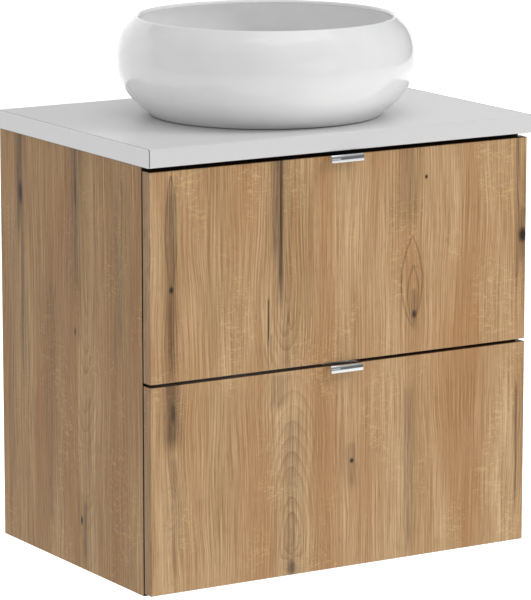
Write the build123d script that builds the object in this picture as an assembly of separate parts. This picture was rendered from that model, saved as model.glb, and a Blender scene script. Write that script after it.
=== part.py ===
from build123d import *
import os

# Vessel sink on a wall-hung vanity with two drawers, in millimetres.
# +Z is up, the fronts face -Y, the wall is the plane y = 0, and x = 0 is the middle.
# The origin is the centre of the wall bolt pattern, on the wall.

# ---------------------------------------------------------------- worktop
worktop_width = 600.0
worktop_depth = 420.0
worktop_thickness = 25.0
worktop_edge_radius = 3.0       # rounding of the long edges at the front
edge_band_thickness = 1.0       # strip that closes each end of the board
side_overhang = 4.0             # worktop past each side panel
front_overhang = 6.0            # worktop past the drawer fronts

# ---------------------------------------------------------------- cabinet
cabinet_height = 574.0
panel_thickness = 16.0
top_reveal = 6.0                # worktop underside to the upper front
front_spacing = 4.0             # between the two fronts
bottom_reveal = 4.0             # lower front to the side panels' lower ends
closing_gap = 3.0               # side panels' front edges to the backs of the fronts
panel_edge_radius = 1.0         # rounding of edge-banded edges
front_rail_depth = 90.0
rear_rail_height = 80.0
rear_rail_setback = 20.0        # wall to the backs of the rear rails
bumper_radius = 4.0
bumper_thickness = 2.6
bumper_inset = 22.0             # from the ends of a front to its bumpers

# ---------------------------------------------------------------- drawers
front_thickness = 18.0
drawer_board = 14.0             # sides, back and sub-front of a drawer box
drawer_bottom_thickness = 12.0
drawer_length = 350.0           # from the back of the front to the back of the box
upper_box_height = 150.0
lower_box_height = 180.0
drawer_floor_lift = 25.0        # front's lower edge to the underside of the box
trap_slot_half_width = 80.0     # inside of the U-shaped surround
trap_slot_reach = 75.0          # waste axis to the front of the slot
trap_slot_corner = 45.0         # inner corner radius of the surround
trap_surround_wall = 6.0

# ---------------------------------------------------------------- handles
handle_width = 50.0
handle_metal = 1.5
handle_reach = 12.0             # in front of the front's face
handle_lip = 10.0               # height of the bent-down lip
handle_bend = 4.0               # outer radius of the bend
handle_back_radius = 1.3        # rounding above the flange
handle_flange = 22.0            # leg behind the front
handle_screw_spacing = 32.0

# ---------------------------------------------------------------- runners
runner_length = 350.0
runner_thickness = 13.0         # side panel to drawer side
runner_height = 45.0
runner_metal = 1.2
runner_front_inset = 2.0        # side panels' front edges to the runners
race_gap = 3.8                  # between the flanges that a row of balls rolls on
web_gap = 0.6                   # between the webs of neighbouring members
flange_end_gap = 0.8            # between a flange's end and the next web
flange_end_setback = 2.5        # drawer side to the ends of the outer flanges
ball_clearance = 0.3            # around each ball
balls_per_row = 6
ball_pitch = 25.0
ball_cage_width = 4.0
ball_cage_thickness = 0.6
ball_cage_setback = 130.0       # runner's front end to the middle ball
runner_screw_inset = 35.0       # from each end of a runner to its outer screws
upper_runner_rise = 66.0        # box underside to the runner's centre line
lower_runner_rise = 80.0

# ---------------------------------------------------------------- basin
basin_set_back = 204.0          # worktop's front edge to the basin's axis
basin_height = 133.0
basin_belly_radius = 202.5
basin_belly_height = 74.0
basin_rim_radius = 179.5        # outside of the rim
basin_rim_thickness = 6.5
basin_foot_radius = 158.0
basin_foot_slope = 0.8          # rise over run where the belly leaves the foot
basin_rim_slope = 0.75          # rise over run where the belly meets the rim
basin_wall = 9.0
basin_floor_radius = 120.0
basin_floor_height = 22.0
basin_floor_fall = 5.0          # the floor's fall towards the waste
seal_height = 1.0               # silicone bead between basin and worktop
seal_width = 8.0
seal_inset = 6.0                # foot's edge to the bead

# ---------------------------------------------------------------- waste and trap
waste_radius = 20.9             # outside of the threaded body
waste_bore = 17.5
waste_length = 87.0             # from the basin's floor down to the lower end
waste_hole_clearance = 1.6      # around the body in the basin
worktop_hole_clearance = 4.0    # around the body in the worktop
waste_flange_radius = 32.0
waste_flange_thickness = 3.0
flange_seat_clearance = 1.0     # around the flange in the basin's recess
backnut_height = 9.0
backnut_across_flats = 56.0
gasket_thickness = 3.0
gasket_radius = 31.0
thread_clearance = 0.15
plug_radius = 26.0
plug_thickness = 4.0
plug_travel = 8.0
plug_stem_radius = 5.0
plug_stem_length = 42.0
plug_seal_radius = 23.0
plug_seal_thickness = 2.0
plug_guide_drop = 30.0          # basin's floor to the top of the stem's guide
plug_guide_height = 8.0
plug_guide_wall = 3.0           # thickness of the guide's bush and of its cross bars
plug_seal_width = 3.0
plug_edge_radius = 2.4
stem_clearance = 0.3
pipe_radius = 16.0
pipe_wall = 1.5
pipe_flange_radius = 19.5
pipe_flange_thickness = 2.0
coupling_nut_radius = 26.0
coupling_nut_cover = 12.0       # length of thread inside a coupling nut
coupling_nut_lip = 5.0
nut_flutes = 12
nut_flute_radius = 1.6
nut_flute_offset = 0.6          # flute's centre outside the nut's surface
trap_radius = 30.0
trap_wall = 2.5
trap_height = 60.0
trap_top_drop = 92.0            # worktop underside to the top of the trap body
trap_collar_radius = 21.0
trap_collar_length = 16.0
trap_cup_radius = 34.0
trap_cup_height = 52.0
trap_cup_cover = 14.0           # height of the cup's rim around the body
trap_dip = 12.0                 # inlet tube below the trap body
trap_shoulder_radius = 8.0
trap_cup_rounding = 10.0
cup_ribs = 16
cup_rib_radius = 2.0
cup_rib_offset = 0.8            # rib groove's centre outside the cup's surface
cup_rib_start = 14.0            # cup's floor to the lower ends of the grooves
outlet_drop = 24.0              # top of the trap body to the outlet's axis
outlet_collar_reach = 18.0      # outlet collar beyond the trap body
outlet_spigot_length = 90.0     # plain pipe end that goes to the wall
outlet_bead_radius = 17.5
outlet_bead_width = 2.0

# ---------------------------------------------------------------- wall hanging
wall_bolt_drop = 45.0           # cabinet's top to the centre of the bolt pattern
wall_bolt_side_inset = 49.0     # inside of a side panel to the bolts
wall_bolt_spacing = 32.0        # between the two bolts of a plate
wall_bolt_hole_radius = 3.5
wall_plate_thickness = 2.0
wall_plate_height = 50.0
wall_plate_width = 60.0
wall_plate_side_inset = 4.0     # inside of a side panel to the plate
plate_lip_width = 14.0
plate_lip_standoff = 8.0        # wall to the back of the lip
plate_lip_bottom = 4.0
plate_lip_top = 16.0
housing_width = 18.0
housing_length = 60.0
housing_bottom = 6.0
housing_top = 40.0
hook_thickness = 4.0
hook_height = 12.0
hook_nose = 9.0                 # depth of the hook's nose behind the lip
hook_clearance = 1.0
hook_end_inset = 8.0            # housing's front end to the end of the hook's arm
rail_slot_margin = 3.0          # around the hook where it passes the rear top rail
hook_side_inset = 9.0           # inside of a side panel to the middle of the hook

# ---------------------------------------------------------------- fasteners
screw_clearance = 0.15
dowel_radius = 4.0
dowel_length = 30.0
dowel_in_side_panel = 10.0
bottom_dowel_inset = 35.0       # bottom panel's front and back edges to their dowels
top_dowel_inset = 20.0          # front rail's long edges to its dowels
rail_dowel_rises = (12.0, 34.0)  # rear rails' lower edges to their dowels
cam_radius = 7.5
cam_depth = 12.5
cam_inset = 34.0                # inside of a side panel to the cam's centre
cam_edge_inset = 90.0           # bottom panel's front and back edges to its cams
cam_bolt_radius = 3.0
bracket_leg = 30.0
bracket_width = 25.0
bracket_metal = 2.0
bracket_screw_inset = 9.0       # end of a bracket's leg to its screw
worktop_screw_end_inset = 60.0  # inside of a side panel to the worktop screws
worktop_screw_edge_inset = 25.0  # front rail's long edges to the worktop screws
front_screw_end_inset = 50.0    # inside of a drawer side to the front's screws
front_screw_low = 40.0          # box underside to the lower row
front_screw_high = 30.0         # box top to the upper row
box_screw_end_inset = 60.0      # ends of a drawer side to its bottom screws
box_screw_rises = (0.35, 0.85)  # shares of the box's height
handle_screw_drop = 14.0        # front's top edge to the handle's screws
hanger_screw_inset = 12.0       # ends of a housing to its screws
hanger_screw_drop = 6.0         # housing's top to its screws

# shank radius, head radius, head height, length under the head
board_screw = (2.0, 4.0, 2.5, 30.0)
front_screw = (2.0, 4.5, 2.0, 26.0)
worktop_screw = (2.0, 4.5, 2.5, 30.0)
bracket_screw = (1.75, 3.5, 1.8, 14.0)
runner_screw = (1.75, 3.4, 0.6, 12.0)
handle_screw = (1.5, 2.8, 1.2, 11.0)
hanger_screw = (2.5, 5.0, 2.5, 12.0)

# ---------------------------------------------------------------- places worked out from the sizes
cabinet_width = worktop_width - 2 * side_overhang
cabinet_half = cabinet_width / 2
inner_half = cabinet_half - panel_thickness
cabinet_top = wall_bolt_drop
cabinet_bottom = cabinet_top - cabinet_height
worktop_top = cabinet_top + worktop_thickness
worktop_front = -worktop_depth
front_face = worktop_front + front_overhang
front_back = front_face + front_thickness
panel_front = front_back + closing_gap
rear_rail_back = -rear_rail_setback
rear_rail_front = rear_rail_back - panel_thickness

front_height = (cabinet_height - top_reveal - front_spacing - bottom_reveal) / 2
upper_front_bottom = cabinet_top - top_reveal - front_height
lower_front_bottom = upper_front_bottom - front_spacing - front_height

drawer_half = inner_half - runner_thickness
drawer_inner_half = drawer_half - drawer_board
box_back = front_back + drawer_length
runner_front = panel_front + runner_front_inset
runner_back = runner_front + runner_length
upper_box_bottom = upper_front_bottom + drawer_floor_lift
lower_box_bottom = lower_front_bottom + drawer_floor_lift

basin_y = worktop_front + basin_set_back
basin_bottom = worktop_top + seal_height
drain_floor = basin_bottom + basin_floor_height - basin_floor_fall
flange_seat = drain_floor - waste_flange_thickness
waste_end = flange_seat - waste_length
trap_top = cabinet_top - trap_top_drop
trap_bottom = trap_top - trap_height
outlet_z = trap_top - outlet_drop
outlet_collar_end = basin_y + trap_radius + outlet_collar_reach

hook_x = inner_half - hook_side_inset
bolt_x = inner_half - wall_bolt_side_inset
UP = Vector(0, 0, 1)
DOWN = Vector(0, 0, -1)
TO_WALL = Vector(0, 1, 0)
TO_FRONT = Vector(0, -1, 0)


# ---------------------------------------------------------------- shapes
def block(x0, x1, y0, y1, z0, z1):
    """Box between two opposite corners, in either order."""
    middle = Pos((x0 + x1) / 2, (y0 + y1) / 2, (z0 + z1) / 2)
    return middle * Box(abs(x1 - x0), abs(y1 - y0), abs(z1 - z0))


def rod(radius, start, end):
    """Cylinder from one point to another."""
    run = Vector(*end) - Vector(*start)
    return extrude(Plane(origin=start, z_dir=run) * Circle(radius), run.length)


def tube(outer, bore, start, end):
    """Pipe from one point to another."""
    return rod(outer, start, end) - rod(bore, start, end)


def hex_ring(across_flats, bore, start, end):
    """Hexagonal nut body from one point to another."""
    run = Vector(*end) - Vector(*start)
    section = RegularPolygon(across_flats / 2, 6, major_radius=False) - Circle(bore)
    return extrude(Plane(origin=start, z_dir=run) * section, run.length)


def screw(kind, seat, direction):
    """Screw whose head stands on the point seat and whose shank runs along direction."""
    shank_radius, head_radius, head_height, length = kind
    head_top = seat - direction * head_height
    socket_floor = seat - direction * (head_height / 3)
    body = rod(head_radius, head_top, seat) + rod(shank_radius, seat, seat + direction * length)
    run = socket_floor - head_top
    socket = extrude(Plane(origin=head_top, z_dir=run) * RegularPolygon(head_radius / 2, 6), run.length)
    return body - socket


def screw_hole(kind, seat, direction, sunk=True):
    """Hole for a screw; a sunk head gets a counterbore out to the surface it starts from."""
    shank_radius, head_radius, head_height, length = kind
    end = seat + direction * (length + 2 * screw_clearance)
    hole = rod(shank_radius + screw_clearance, seat - direction * head_height, end)
    if sunk:
        hole += rod(head_radius + screw_clearance, seat - direction * head_height, seat)
    return hole


def edges_at(solid, axis, **place):
    """Edges along one axis whose middle has the given coordinates."""
    def fits(edge):
        middle = edge.center()
        return all(abs(getattr(middle, name) - value) < 0.01 for name, value in place.items())
    return [edge for edge in solid.edges().filter_by(axis) if fits(edge)]


def group(solids):
    """Several separate solids in one node."""
    return Compound(children=list(solids))


def cut(solid, holes):
    """Solid with each of the holes taken out."""
    for hole in holes:
        solid = solid - hole
    return solid


# ---------------------------------------------------------------- fastener places
def dowel_ends():
    """Points on the inner face of a side panel where a dowel crosses, for the right side."""
    board_middle = panel_thickness / 2
    rearmost = rear_rail_back - bottom_dowel_inset
    foremost = panel_front + bottom_dowel_inset
    for y in (rearmost, (rearmost + foremost) / 2, foremost):
        yield Vector(inner_half, y, cabinet_bottom + board_middle)
    for y in (panel_front + top_dowel_inset, panel_front + front_rail_depth - top_dowel_inset):
        yield Vector(inner_half, y, cabinet_top - board_middle)
    rail_y = rear_rail_back - board_middle
    for bottom in (cabinet_top - rear_rail_height, cabinet_bottom + panel_thickness):
        for rise in rail_dowel_rises:
            yield Vector(inner_half, rail_y, bottom + rise)


def mirrored(point):
    """The same point on the other side of the cabinet."""
    return Vector(-point.X, point.Y, point.Z)


def dowel(point, clearance=0.0):
    """Dowel that crosses the side panel's inner face at a point, or its hole."""
    outward = Vector(1 if point.X > 0 else -1, 0, 0)
    inner_end = point - outward * (dowel_length - dowel_in_side_panel + clearance)
    return rod(dowel_radius + clearance, inner_end, point + outward * (dowel_in_side_panel + clearance))


dowel_points = [p for q in dowel_ends() for p in (q, mirrored(q))]
dowel_holes = [dowel(p, screw_clearance) for p in dowel_points]


def cam_places():
    """Inner-face point, and the direction in which the cam faces, for the right side."""
    board_middle = panel_thickness / 2
    for y in (rear_rail_back - cam_edge_inset, panel_front + cam_edge_inset):
        yield Vector(inner_half, y, cabinet_bottom + board_middle), UP
    yield Vector(inner_half, panel_front + front_rail_depth / 2, cabinet_top - board_middle), DOWN


def cam_solids(point, facing, clearance=0.0):
    """Cam and its bolt, or the holes for them."""
    outward = Vector(1 if point.X > 0 else -1, 0, 0)
    centre = point - outward * cam_inset
    face = centre + facing * (panel_thickness / 2)
    cam = rod(cam_radius + clearance, face, face - facing * (cam_depth + clearance))
    bolt_end = point + outward * (dowel_in_side_panel + clearance)
    bolt = rod(cam_bolt_radius + clearance, centre + outward * cam_radius, bolt_end)
    return cam, bolt


cam_points = [(p, facing) for q, facing in cam_places() for p in (q, mirrored(q))]
cam_holes = [hole for p, facing in cam_points for hole in cam_solids(p, facing, screw_clearance)]


def hanger_screw_seats():
    """Seats of the screws that hold the hanger housings to the side panels."""
    seat_depth = housing_width / 2
    for side in sides:
        outward = Vector(side, 0, 0)
        for inset in (hanger_screw_inset, housing_length - hanger_screw_inset):
            x = side * (inner_half - seat_depth)
            yield Vector(x, rear_rail_front - inset, housing_top - hanger_screw_drop), outward


runner_heights = {
    "upper": upper_box_bottom + upper_runner_rise,
    "lower": lower_box_bottom + lower_runner_rise,
}
drawers = ("upper", "lower")
sides = (1, -1)


def runner_screw_rows():
    """Positions of the screws along a runner."""
    return (
        runner_front + runner_screw_inset,
        (runner_front + runner_back) / 2,
        runner_back - runner_screw_inset,
    )


def cabinet_runner_seats():
    """Seats of the screws that hold the cabinet members."""
    head_height = runner_screw[2]
    for drawer in drawers:
        for side in sides:
            for y in runner_screw_rows():
                x = side * (inner_half - runner_metal + head_height)
                yield Vector(x, y, runner_heights[drawer]), Vector(side, 0, 0)


def drawer_runner_seats(drawer):
    """Seats of the screws that hold the drawer members of one drawer."""
    head_height = runner_screw[2]
    for side in sides:
        for y in runner_screw_rows():
            x = side * (drawer_half + runner_metal - head_height)
            yield Vector(x, y, runner_heights[drawer]), Vector(-side, 0, 0)


def worktop_screw_seats():
    """Seats of the screws that come up through the front rail."""
    rail_back = panel_front + front_rail_depth
    for side in sides:
        for y in (panel_front + worktop_screw_edge_inset, rail_back - worktop_screw_edge_inset):
            x = side * (inner_half - worktop_screw_end_inset)
            yield Vector(x, y, cabinet_top - panel_thickness), UP


bracket_x = (-inner_half * 0.5, inner_half * 0.5)


def bracket_worktop_seats():
    """Seats of the bracket screws that go up into the worktop."""
    for x in bracket_x:
        y = rear_rail_front - bracket_leg + bracket_screw_inset
        yield Vector(x, y, cabinet_top - bracket_metal), UP


def bracket_rail_seats():
    """Seats of the bracket screws that go into the rear top rail."""
    for x in bracket_x:
        z = cabinet_top - bracket_leg + bracket_screw_inset
        yield Vector(x, rear_rail_front - bracket_metal, z), TO_WALL


# ---------------------------------------------------------------- carcass
def side_panel(side):
    panel = block(side * inner_half, side * cabinet_half, panel_front, 0, cabinet_bottom, cabinet_top)
    panel = fillet(edges_at(panel, Axis.Z, X=side * cabinet_half, Y=panel_front), panel_edge_radius)
    holes = dowel_holes + cam_holes
    holes += [screw_hole(hanger_screw, seat, way) for seat, way in hanger_screw_seats()]
    holes += [screw_hole(runner_screw, seat, way) for seat, way in cabinet_runner_seats()]
    reach = side * cabinet_half
    return cut(panel, [hole for hole in holes if hole.center().X * reach > 0])


def bottom_panel():
    panel = block(-inner_half, inner_half, panel_front, rear_rail_back, cabinet_bottom,
                  cabinet_bottom + panel_thickness)
    return cut(panel, dowel_holes + cam_holes)


def front_top_rail():
    rail = block(-inner_half, inner_half, panel_front, panel_front + front_rail_depth,
                 cabinet_top - panel_thickness, cabinet_top)
    holes = [screw_hole(worktop_screw, seat, way, sunk=False) for seat, way in worktop_screw_seats()]
    return cut(rail, dowel_holes + cam_holes + holes)


def rear_top_rail():
    rail = block(-inner_half, inner_half, rear_rail_front, rear_rail_back,
                 cabinet_top - rear_rail_height, cabinet_top)
    holes = [screw_hole(bracket_screw, seat, way, sunk=False) for seat, way in bracket_rail_seats()]
    for side in sides:
        x0 = side * (hook_x - hook_thickness / 2 - rail_slot_margin)
        x1 = side * (hook_x + hook_thickness / 2 + rail_slot_margin)
        z0 = plate_lip_top - rail_slot_margin
        z1 = plate_lip_top + hook_height + rail_slot_margin
        holes.append(block(x0, x1, rear_rail_front - 1, rear_rail_back + 1, z0, z1))
    return cut(rail, dowel_holes + holes)


def rear_lower_rail():
    floor = cabinet_bottom + panel_thickness
    rail = block(-inner_half, inner_half, rear_rail_front, rear_rail_back, floor, floor + rear_rail_height)
    return cut(rail, dowel_holes)


def carcass_dowels():
    return group(dowel(point) for point in dowel_points)


def cam_fittings():
    solids = []
    for point, facing in cam_points:
        solids.extend(cam_solids(point, facing))
    return group(solids)


def front_bumpers():
    pads = []
    x = (inner_half + cabinet_half) / 2
    for bottom in (upper_front_bottom, lower_front_bottom):
        for z in (bottom + bumper_inset, bottom + front_height - bumper_inset):
            for side in sides:
                start = Vector(side * x, panel_front, z)
                pads.append(rod(bumper_radius, start, start + TO_FRONT * bumper_thickness))
    return group(pads)


# ---------------------------------------------------------------- worktop
def worktop_blank(x0, x1):
    """Length of the worktop's profile, with its long front edges rounded."""
    blank = block(x0, x1, worktop_front, 0, cabinet_top, worktop_top)
    edges = edges_at(blank, Axis.X, Y=worktop_front, Z=worktop_top)
    edges += edges_at(blank, Axis.X, Y=worktop_front, Z=cabinet_top)
    return fillet(edges, worktop_edge_radius)


def worktop():
    half = worktop_width / 2 - edge_band_thickness
    board = worktop_blank(-half, half)
    hole_radius = waste_radius + worktop_hole_clearance
    holes = [rod(hole_radius, (0, basin_y, cabinet_top - 1), (0, basin_y, worktop_top + 1))]
    holes += [screw_hole(worktop_screw, seat, way, sunk=False) for seat, way in worktop_screw_seats()]
    holes += [screw_hole(bracket_screw, seat, way, sunk=False) for seat, way in bracket_worktop_seats()]
    return cut(board, holes)


def worktop_edge_band(side):
    outer = side * worktop_width / 2
    inner = side * (worktop_width / 2 - edge_band_thickness)
    return worktop_blank(inner, outer)


def worktop_screws():
    solids = [screw(worktop_screw, seat, way) for seat, way in worktop_screw_seats()]
    solids += [screw(bracket_screw, seat, way) for seat, way in bracket_worktop_seats()]
    solids += [screw(bracket_screw, seat, way) for seat, way in bracket_rail_seats()]
    return group(solids)


def worktop_brackets():
    solids = []
    for x in bracket_x:
        x0 = x - bracket_width / 2
        x1 = x + bracket_width / 2
        upright = block(x0, x1, rear_rail_front - bracket_metal, rear_rail_front,
                        cabinet_top - bracket_leg, cabinet_top)
        shelf = block(x0, x1, rear_rail_front - bracket_leg, rear_rail_front,
                      cabinet_top - bracket_metal, cabinet_top)
        holes = [screw_hole(bracket_screw, seat, way, sunk=False) for seat, way in bracket_worktop_seats()]
        holes += [screw_hole(bracket_screw, seat, way, sunk=False) for seat, way in bracket_rail_seats()]
        solids.append(cut(upright + shelf, holes))
    return group(solids)


# ---------------------------------------------------------------- wall hanging
def wall_plate(side):
    outer = inner_half - wall_plate_side_inset
    half_height = wall_plate_height / 2
    plate = block(side * (outer - wall_plate_width), side * outer, -wall_plate_thickness, 0,
                  -half_height, half_height)
    lip_x0 = side * (hook_x - plate_lip_width / 2)
    lip_x1 = side * min(hook_x + plate_lip_width / 2, outer)
    lip_back = -plate_lip_standoff
    lip_front = lip_back - wall_plate_thickness
    plate += block(lip_x0, lip_x1, lip_front, -wall_plate_thickness, plate_lip_bottom,
                   plate_lip_bottom + wall_plate_thickness)
    plate += block(lip_x0, lip_x1, lip_front, lip_back, plate_lip_bottom, plate_lip_top)
    for z in (-wall_bolt_spacing / 2, wall_bolt_spacing / 2):
        x = side * bolt_x
        plate -= rod(wall_bolt_hole_radius, (x, -plate_lip_standoff, z), (x, 1, z))
    return plate


def hook(side):
    x0 = side * (hook_x - hook_thickness / 2)
    x1 = side * (hook_x + hook_thickness / 2)
    z0 = plate_lip_top
    z1 = plate_lip_top + hook_height
    arm_front = rear_rail_front - housing_length + hook_end_inset
    nose_front = -plate_lip_standoff + hook_clearance
    nose_back = -wall_plate_thickness - hook_clearance
    arm = block(x0, x1, arm_front, nose_back, z0, z1)
    return arm + block(x0, x1, nose_front, nose_back, z0 - hook_nose, z1)


def hanger_housing(side):
    body = block(side * (inner_half - housing_width), side * inner_half,
                 rear_rail_front - housing_length, rear_rail_front, housing_bottom, housing_top)
    slot_x0 = side * (hook_x - hook_thickness / 2 - hook_clearance)
    slot_x1 = side * (hook_x + hook_thickness / 2 + hook_clearance)
    slot_end = rear_rail_front - housing_length + hook_end_inset - hook_clearance
    slot_top = plate_lip_top + hook_height + hook_clearance
    body -= block(slot_x0, slot_x1, slot_end, rear_rail_front + 1, plate_lip_top, slot_top)
    holes = [screw_hole(hanger_screw, seat, way) for seat, way in hanger_screw_seats()]
    open_ways = [rod(hanger_screw[1] + screw_clearance, seat - way * housing_width, seat)
                 for seat, way in hanger_screw_seats()]
    return cut(body, [hole for hole in holes + open_ways if hole.center().X * side > 0])


def wall_plates():
    return group(wall_plate(side) for side in sides)


def hanger_hooks():
    return group(hook(side) for side in sides)


def hanger_housings():
    return group(hanger_housing(side) for side in sides)


def hanger_screws():
    return group(screw(hanger_screw, seat, way) for seat, way in hanger_screw_seats())


# ---------------------------------------------------------------- runners
outer_flange = runner_height / 2
middle_flange = outer_flange - runner_metal - race_gap
inner_flange = middle_flange - runner_metal - race_gap
middle_web = runner_metal + web_gap
middle_flange_end = runner_thickness - flange_end_setback
inner_flange_end = middle_web + runner_metal + flange_end_gap


def channel(side, z, web_start, flange_end, half_height):
    """Channel along a runner; distances are from the side panel towards the drawer."""
    def x(distance):
        return side * (inner_half - distance)
    web_end = web_start + (runner_metal if flange_end > web_start else -runner_metal)
    member = block(x(web_start), x(web_end), runner_front, runner_back, z - half_height, z + half_height)
    for way in (1, -1):
        edge = z + way * half_height
        member += block(x(web_start), x(flange_end), runner_front, runner_back, edge,
                        edge - way * runner_metal)
    return member


def cabinet_member(side, z):
    return channel(side, z, 0, middle_flange_end, outer_flange)


def middle_member(side, z):
    return channel(side, z, middle_web, middle_flange_end, middle_flange)


def drawer_member(side, z):
    return channel(side, z, runner_thickness, inner_flange_end, inner_flange)


def ball_cage(side, z, flange_half_height):
    """Two strips of balls, above and below, that roll outside a channel's flanges."""
    ball_radius = race_gap / 2 - ball_clearance
    race_middle = flange_half_height + race_gap / 2
    x = side * (inner_half - (inner_flange_end + middle_flange_end) / 2)
    middle_y = runner_front + ball_cage_setback
    half_length = balls_per_row * ball_pitch / 2
    strips = []
    for way in (1, -1):
        row_z = z + way * race_middle
        strip = block(x - ball_cage_width / 2, x + ball_cage_width / 2, middle_y - half_length,
                      middle_y + half_length, row_z - ball_cage_thickness / 2,
                      row_z + ball_cage_thickness / 2)
        for index in range(balls_per_row):
            ball_y = middle_y + (index - (balls_per_row - 1) / 2) * ball_pitch
            strip += Pos(x, ball_y, row_z) * Sphere(ball_radius)
        strips.append(strip)
    return strips


def runner_cabinet_members():
    holes = [screw_hole(runner_screw, seat, way) for seat, way in cabinet_runner_seats()]
    members = []
    for z in runner_heights.values():
        for side in sides:
            near = [hole for hole in holes if hole.center().X * side > 0 and abs(hole.center().Z - z) < 1]
            members.append(cut(cabinet_member(side, z), near))
    return group(members)


def runner_cabinet_screws():
    return group(screw(runner_screw, seat, way) for seat, way in cabinet_runner_seats())


def drawer_runner_members(drawer):
    holes = [screw_hole(runner_screw, seat, way) for seat, way in drawer_runner_seats(drawer)]
    members = []
    for side in sides:
        near = [hole for hole in holes if hole.center().X * side > 0]
        members.append(cut(drawer_member(side, runner_heights[drawer]), near))
    return group(members)


def runner_middle_members(drawer):
    return group(middle_member(side, runner_heights[drawer]) for side in sides)


def ball_cages(drawer, flange_half_height):
    strips = []
    for side in sides:
        strips.extend(ball_cage(side, runner_heights[drawer], flange_half_height))
    return group(strips)


# ---------------------------------------------------------------- drawers
front_bottoms = {"upper": upper_front_bottom, "lower": lower_front_bottom}
box_bottoms = {"upper": upper_box_bottom, "lower": lower_box_bottom}
box_heights = {"upper": upper_box_height, "lower": lower_box_height}


def handle_screw_seats(drawer):
    """Seats of the two screws behind a front that hold its handle."""
    front_top = front_bottoms[drawer] + front_height
    for x in (-handle_screw_spacing / 2, handle_screw_spacing / 2):
        yield Vector(x, front_back, front_top - handle_screw_drop), TO_FRONT


def front_screw_seats(drawer):
    """Seats of the screws through the sub-front into the front."""
    sub_front_back = front_back + drawer_board
    low = box_bottoms[drawer] + front_screw_low
    high = box_bottoms[drawer] + box_heights[drawer] - front_screw_high
    for side in sides:
        for z in (low, high):
            x = side * (drawer_inner_half - front_screw_end_inset)
            yield Vector(x, sub_front_back, z), TO_FRONT


def box_screw_seats(drawer):
    """Seats of the screws through the drawer's sides, sunk flush."""
    depth = board_screw[2]
    bottom_z = box_bottoms[drawer] + drawer_bottom_thickness / 2
    foremost = front_back + box_screw_end_inset
    rearmost = box_back - box_screw_end_inset
    places = [(y, bottom_z) for y in (foremost, (foremost + rearmost) / 2, rearmost)]
    for y in (box_back - drawer_board / 2, front_back + drawer_board / 2):
        places += [(y, box_bottoms[drawer] + rise * box_heights[drawer]) for rise in box_screw_rises]
    for side in sides:
        for y, z in places:
            yield Vector(side * (drawer_half - depth), y, z), Vector(-side, 0, 0)


def box_screw_holes(drawer):
    return [screw_hole(board_screw, seat, way) for seat, way in box_screw_seats(drawer)]


def drawer_front(drawer):
    bottom = front_bottoms[drawer]
    top = bottom + front_height
    board = block(-cabinet_half, cabinet_half, front_face, front_back, bottom, top)
    face = board.faces().sort_by(Axis.Y)[0]
    board = fillet(face.edges(), panel_edge_radius)
    half = handle_width / 2
    rebate = block(-half, half, front_back - handle_metal, front_back + 1, top - handle_flange, top + 1)
    holes = [screw_hole(handle_screw, seat, way, sunk=False) for seat, way in handle_screw_seats(drawer)]
    holes += [screw_hole(front_screw, seat, way, sunk=False) for seat, way in front_screw_seats(drawer)]
    return cut(board, [rebate] + holes)


def handle(drawer):
    top = front_bottoms[drawer] + front_height
    half = handle_width / 2
    lip_front = front_face - handle_reach
    plate_top = top + handle_metal
    flange_front = front_back - handle_metal
    pull = block(-half, half, flange_front, front_back, top - handle_flange, plate_top)
    pull += block(-half, half, lip_front, front_back, top, plate_top)
    pull += block(-half, half, lip_front, lip_front + handle_metal, plate_top - handle_lip, plate_top)
    pull = fillet(edges_at(pull, Axis.X, Y=lip_front, Z=plate_top), handle_bend)
    inner_bend = edges_at(pull, Axis.X, Y=lip_front + handle_metal, Z=top)
    pull = fillet(inner_bend, handle_bend - handle_metal)
    pull = fillet(edges_at(pull, Axis.X, Y=front_back, Z=plate_top), handle_back_radius)
    holes = [screw_hole(handle_screw, seat, way, sunk=False) for seat, way in handle_screw_seats(drawer)]
    return cut(pull, holes)


def drawer_subfront(drawer):
    floor = box_bottoms[drawer] + drawer_bottom_thickness
    top = box_bottoms[drawer] + box_heights[drawer]
    board = block(-drawer_inner_half, drawer_inner_half, front_back, front_back + drawer_board, floor, top)
    holes = [screw_hole(front_screw, seat, way, sunk=False) for seat, way in front_screw_seats(drawer)]
    return cut(board, holes + box_screw_holes(drawer))


def drawer_side(drawer, side):
    bottom = box_bottoms[drawer]
    board = block(side * drawer_inner_half, side * drawer_half, front_back, box_back, bottom,
                  bottom + box_heights[drawer])
    holes = box_screw_holes(drawer)
    holes += [screw_hole(runner_screw, seat, way) for seat, way in drawer_runner_seats(drawer)]
    return cut(board, [hole for hole in holes if hole.center().X * side > 0])


def trap_slot(half_width, front_y, corner, z0, z1):
    """Block with rounded front corners that runs out through the drawer's back."""
    slot = block(-half_width, half_width, front_y, box_back + 1, z0, z1)
    corners = edges_at(slot, Axis.Z, X=half_width, Y=front_y)
    corners += edges_at(slot, Axis.Z, X=-half_width, Y=front_y)
    return fillet(corners, corner)


slot_front = basin_y - trap_slot_reach


def drawer_bottom(drawer):
    bottom = box_bottoms[drawer]
    top = bottom + drawer_bottom_thickness
    board = block(-drawer_inner_half, drawer_inner_half, front_back, box_back, bottom, top)
    holes = box_screw_holes(drawer)
    if drawer == "upper":
        holes.append(trap_slot(trap_slot_half_width, slot_front, trap_slot_corner, bottom - 1, top + 1))
    return cut(board, holes)


def trap_surround():
    floor = upper_box_bottom + drawer_bottom_thickness
    top = upper_box_bottom + upper_box_height
    wall = trap_surround_wall
    outer = trap_slot(trap_slot_half_width + wall, slot_front - wall, trap_slot_corner + wall, floor, top)
    inner = trap_slot(trap_slot_half_width, slot_front, trap_slot_corner, floor - 1, top + 1)
    behind = block(-drawer_half, drawer_half, box_back, box_back + 2, floor - 1, top + 1)
    return outer - inner - behind


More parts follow.
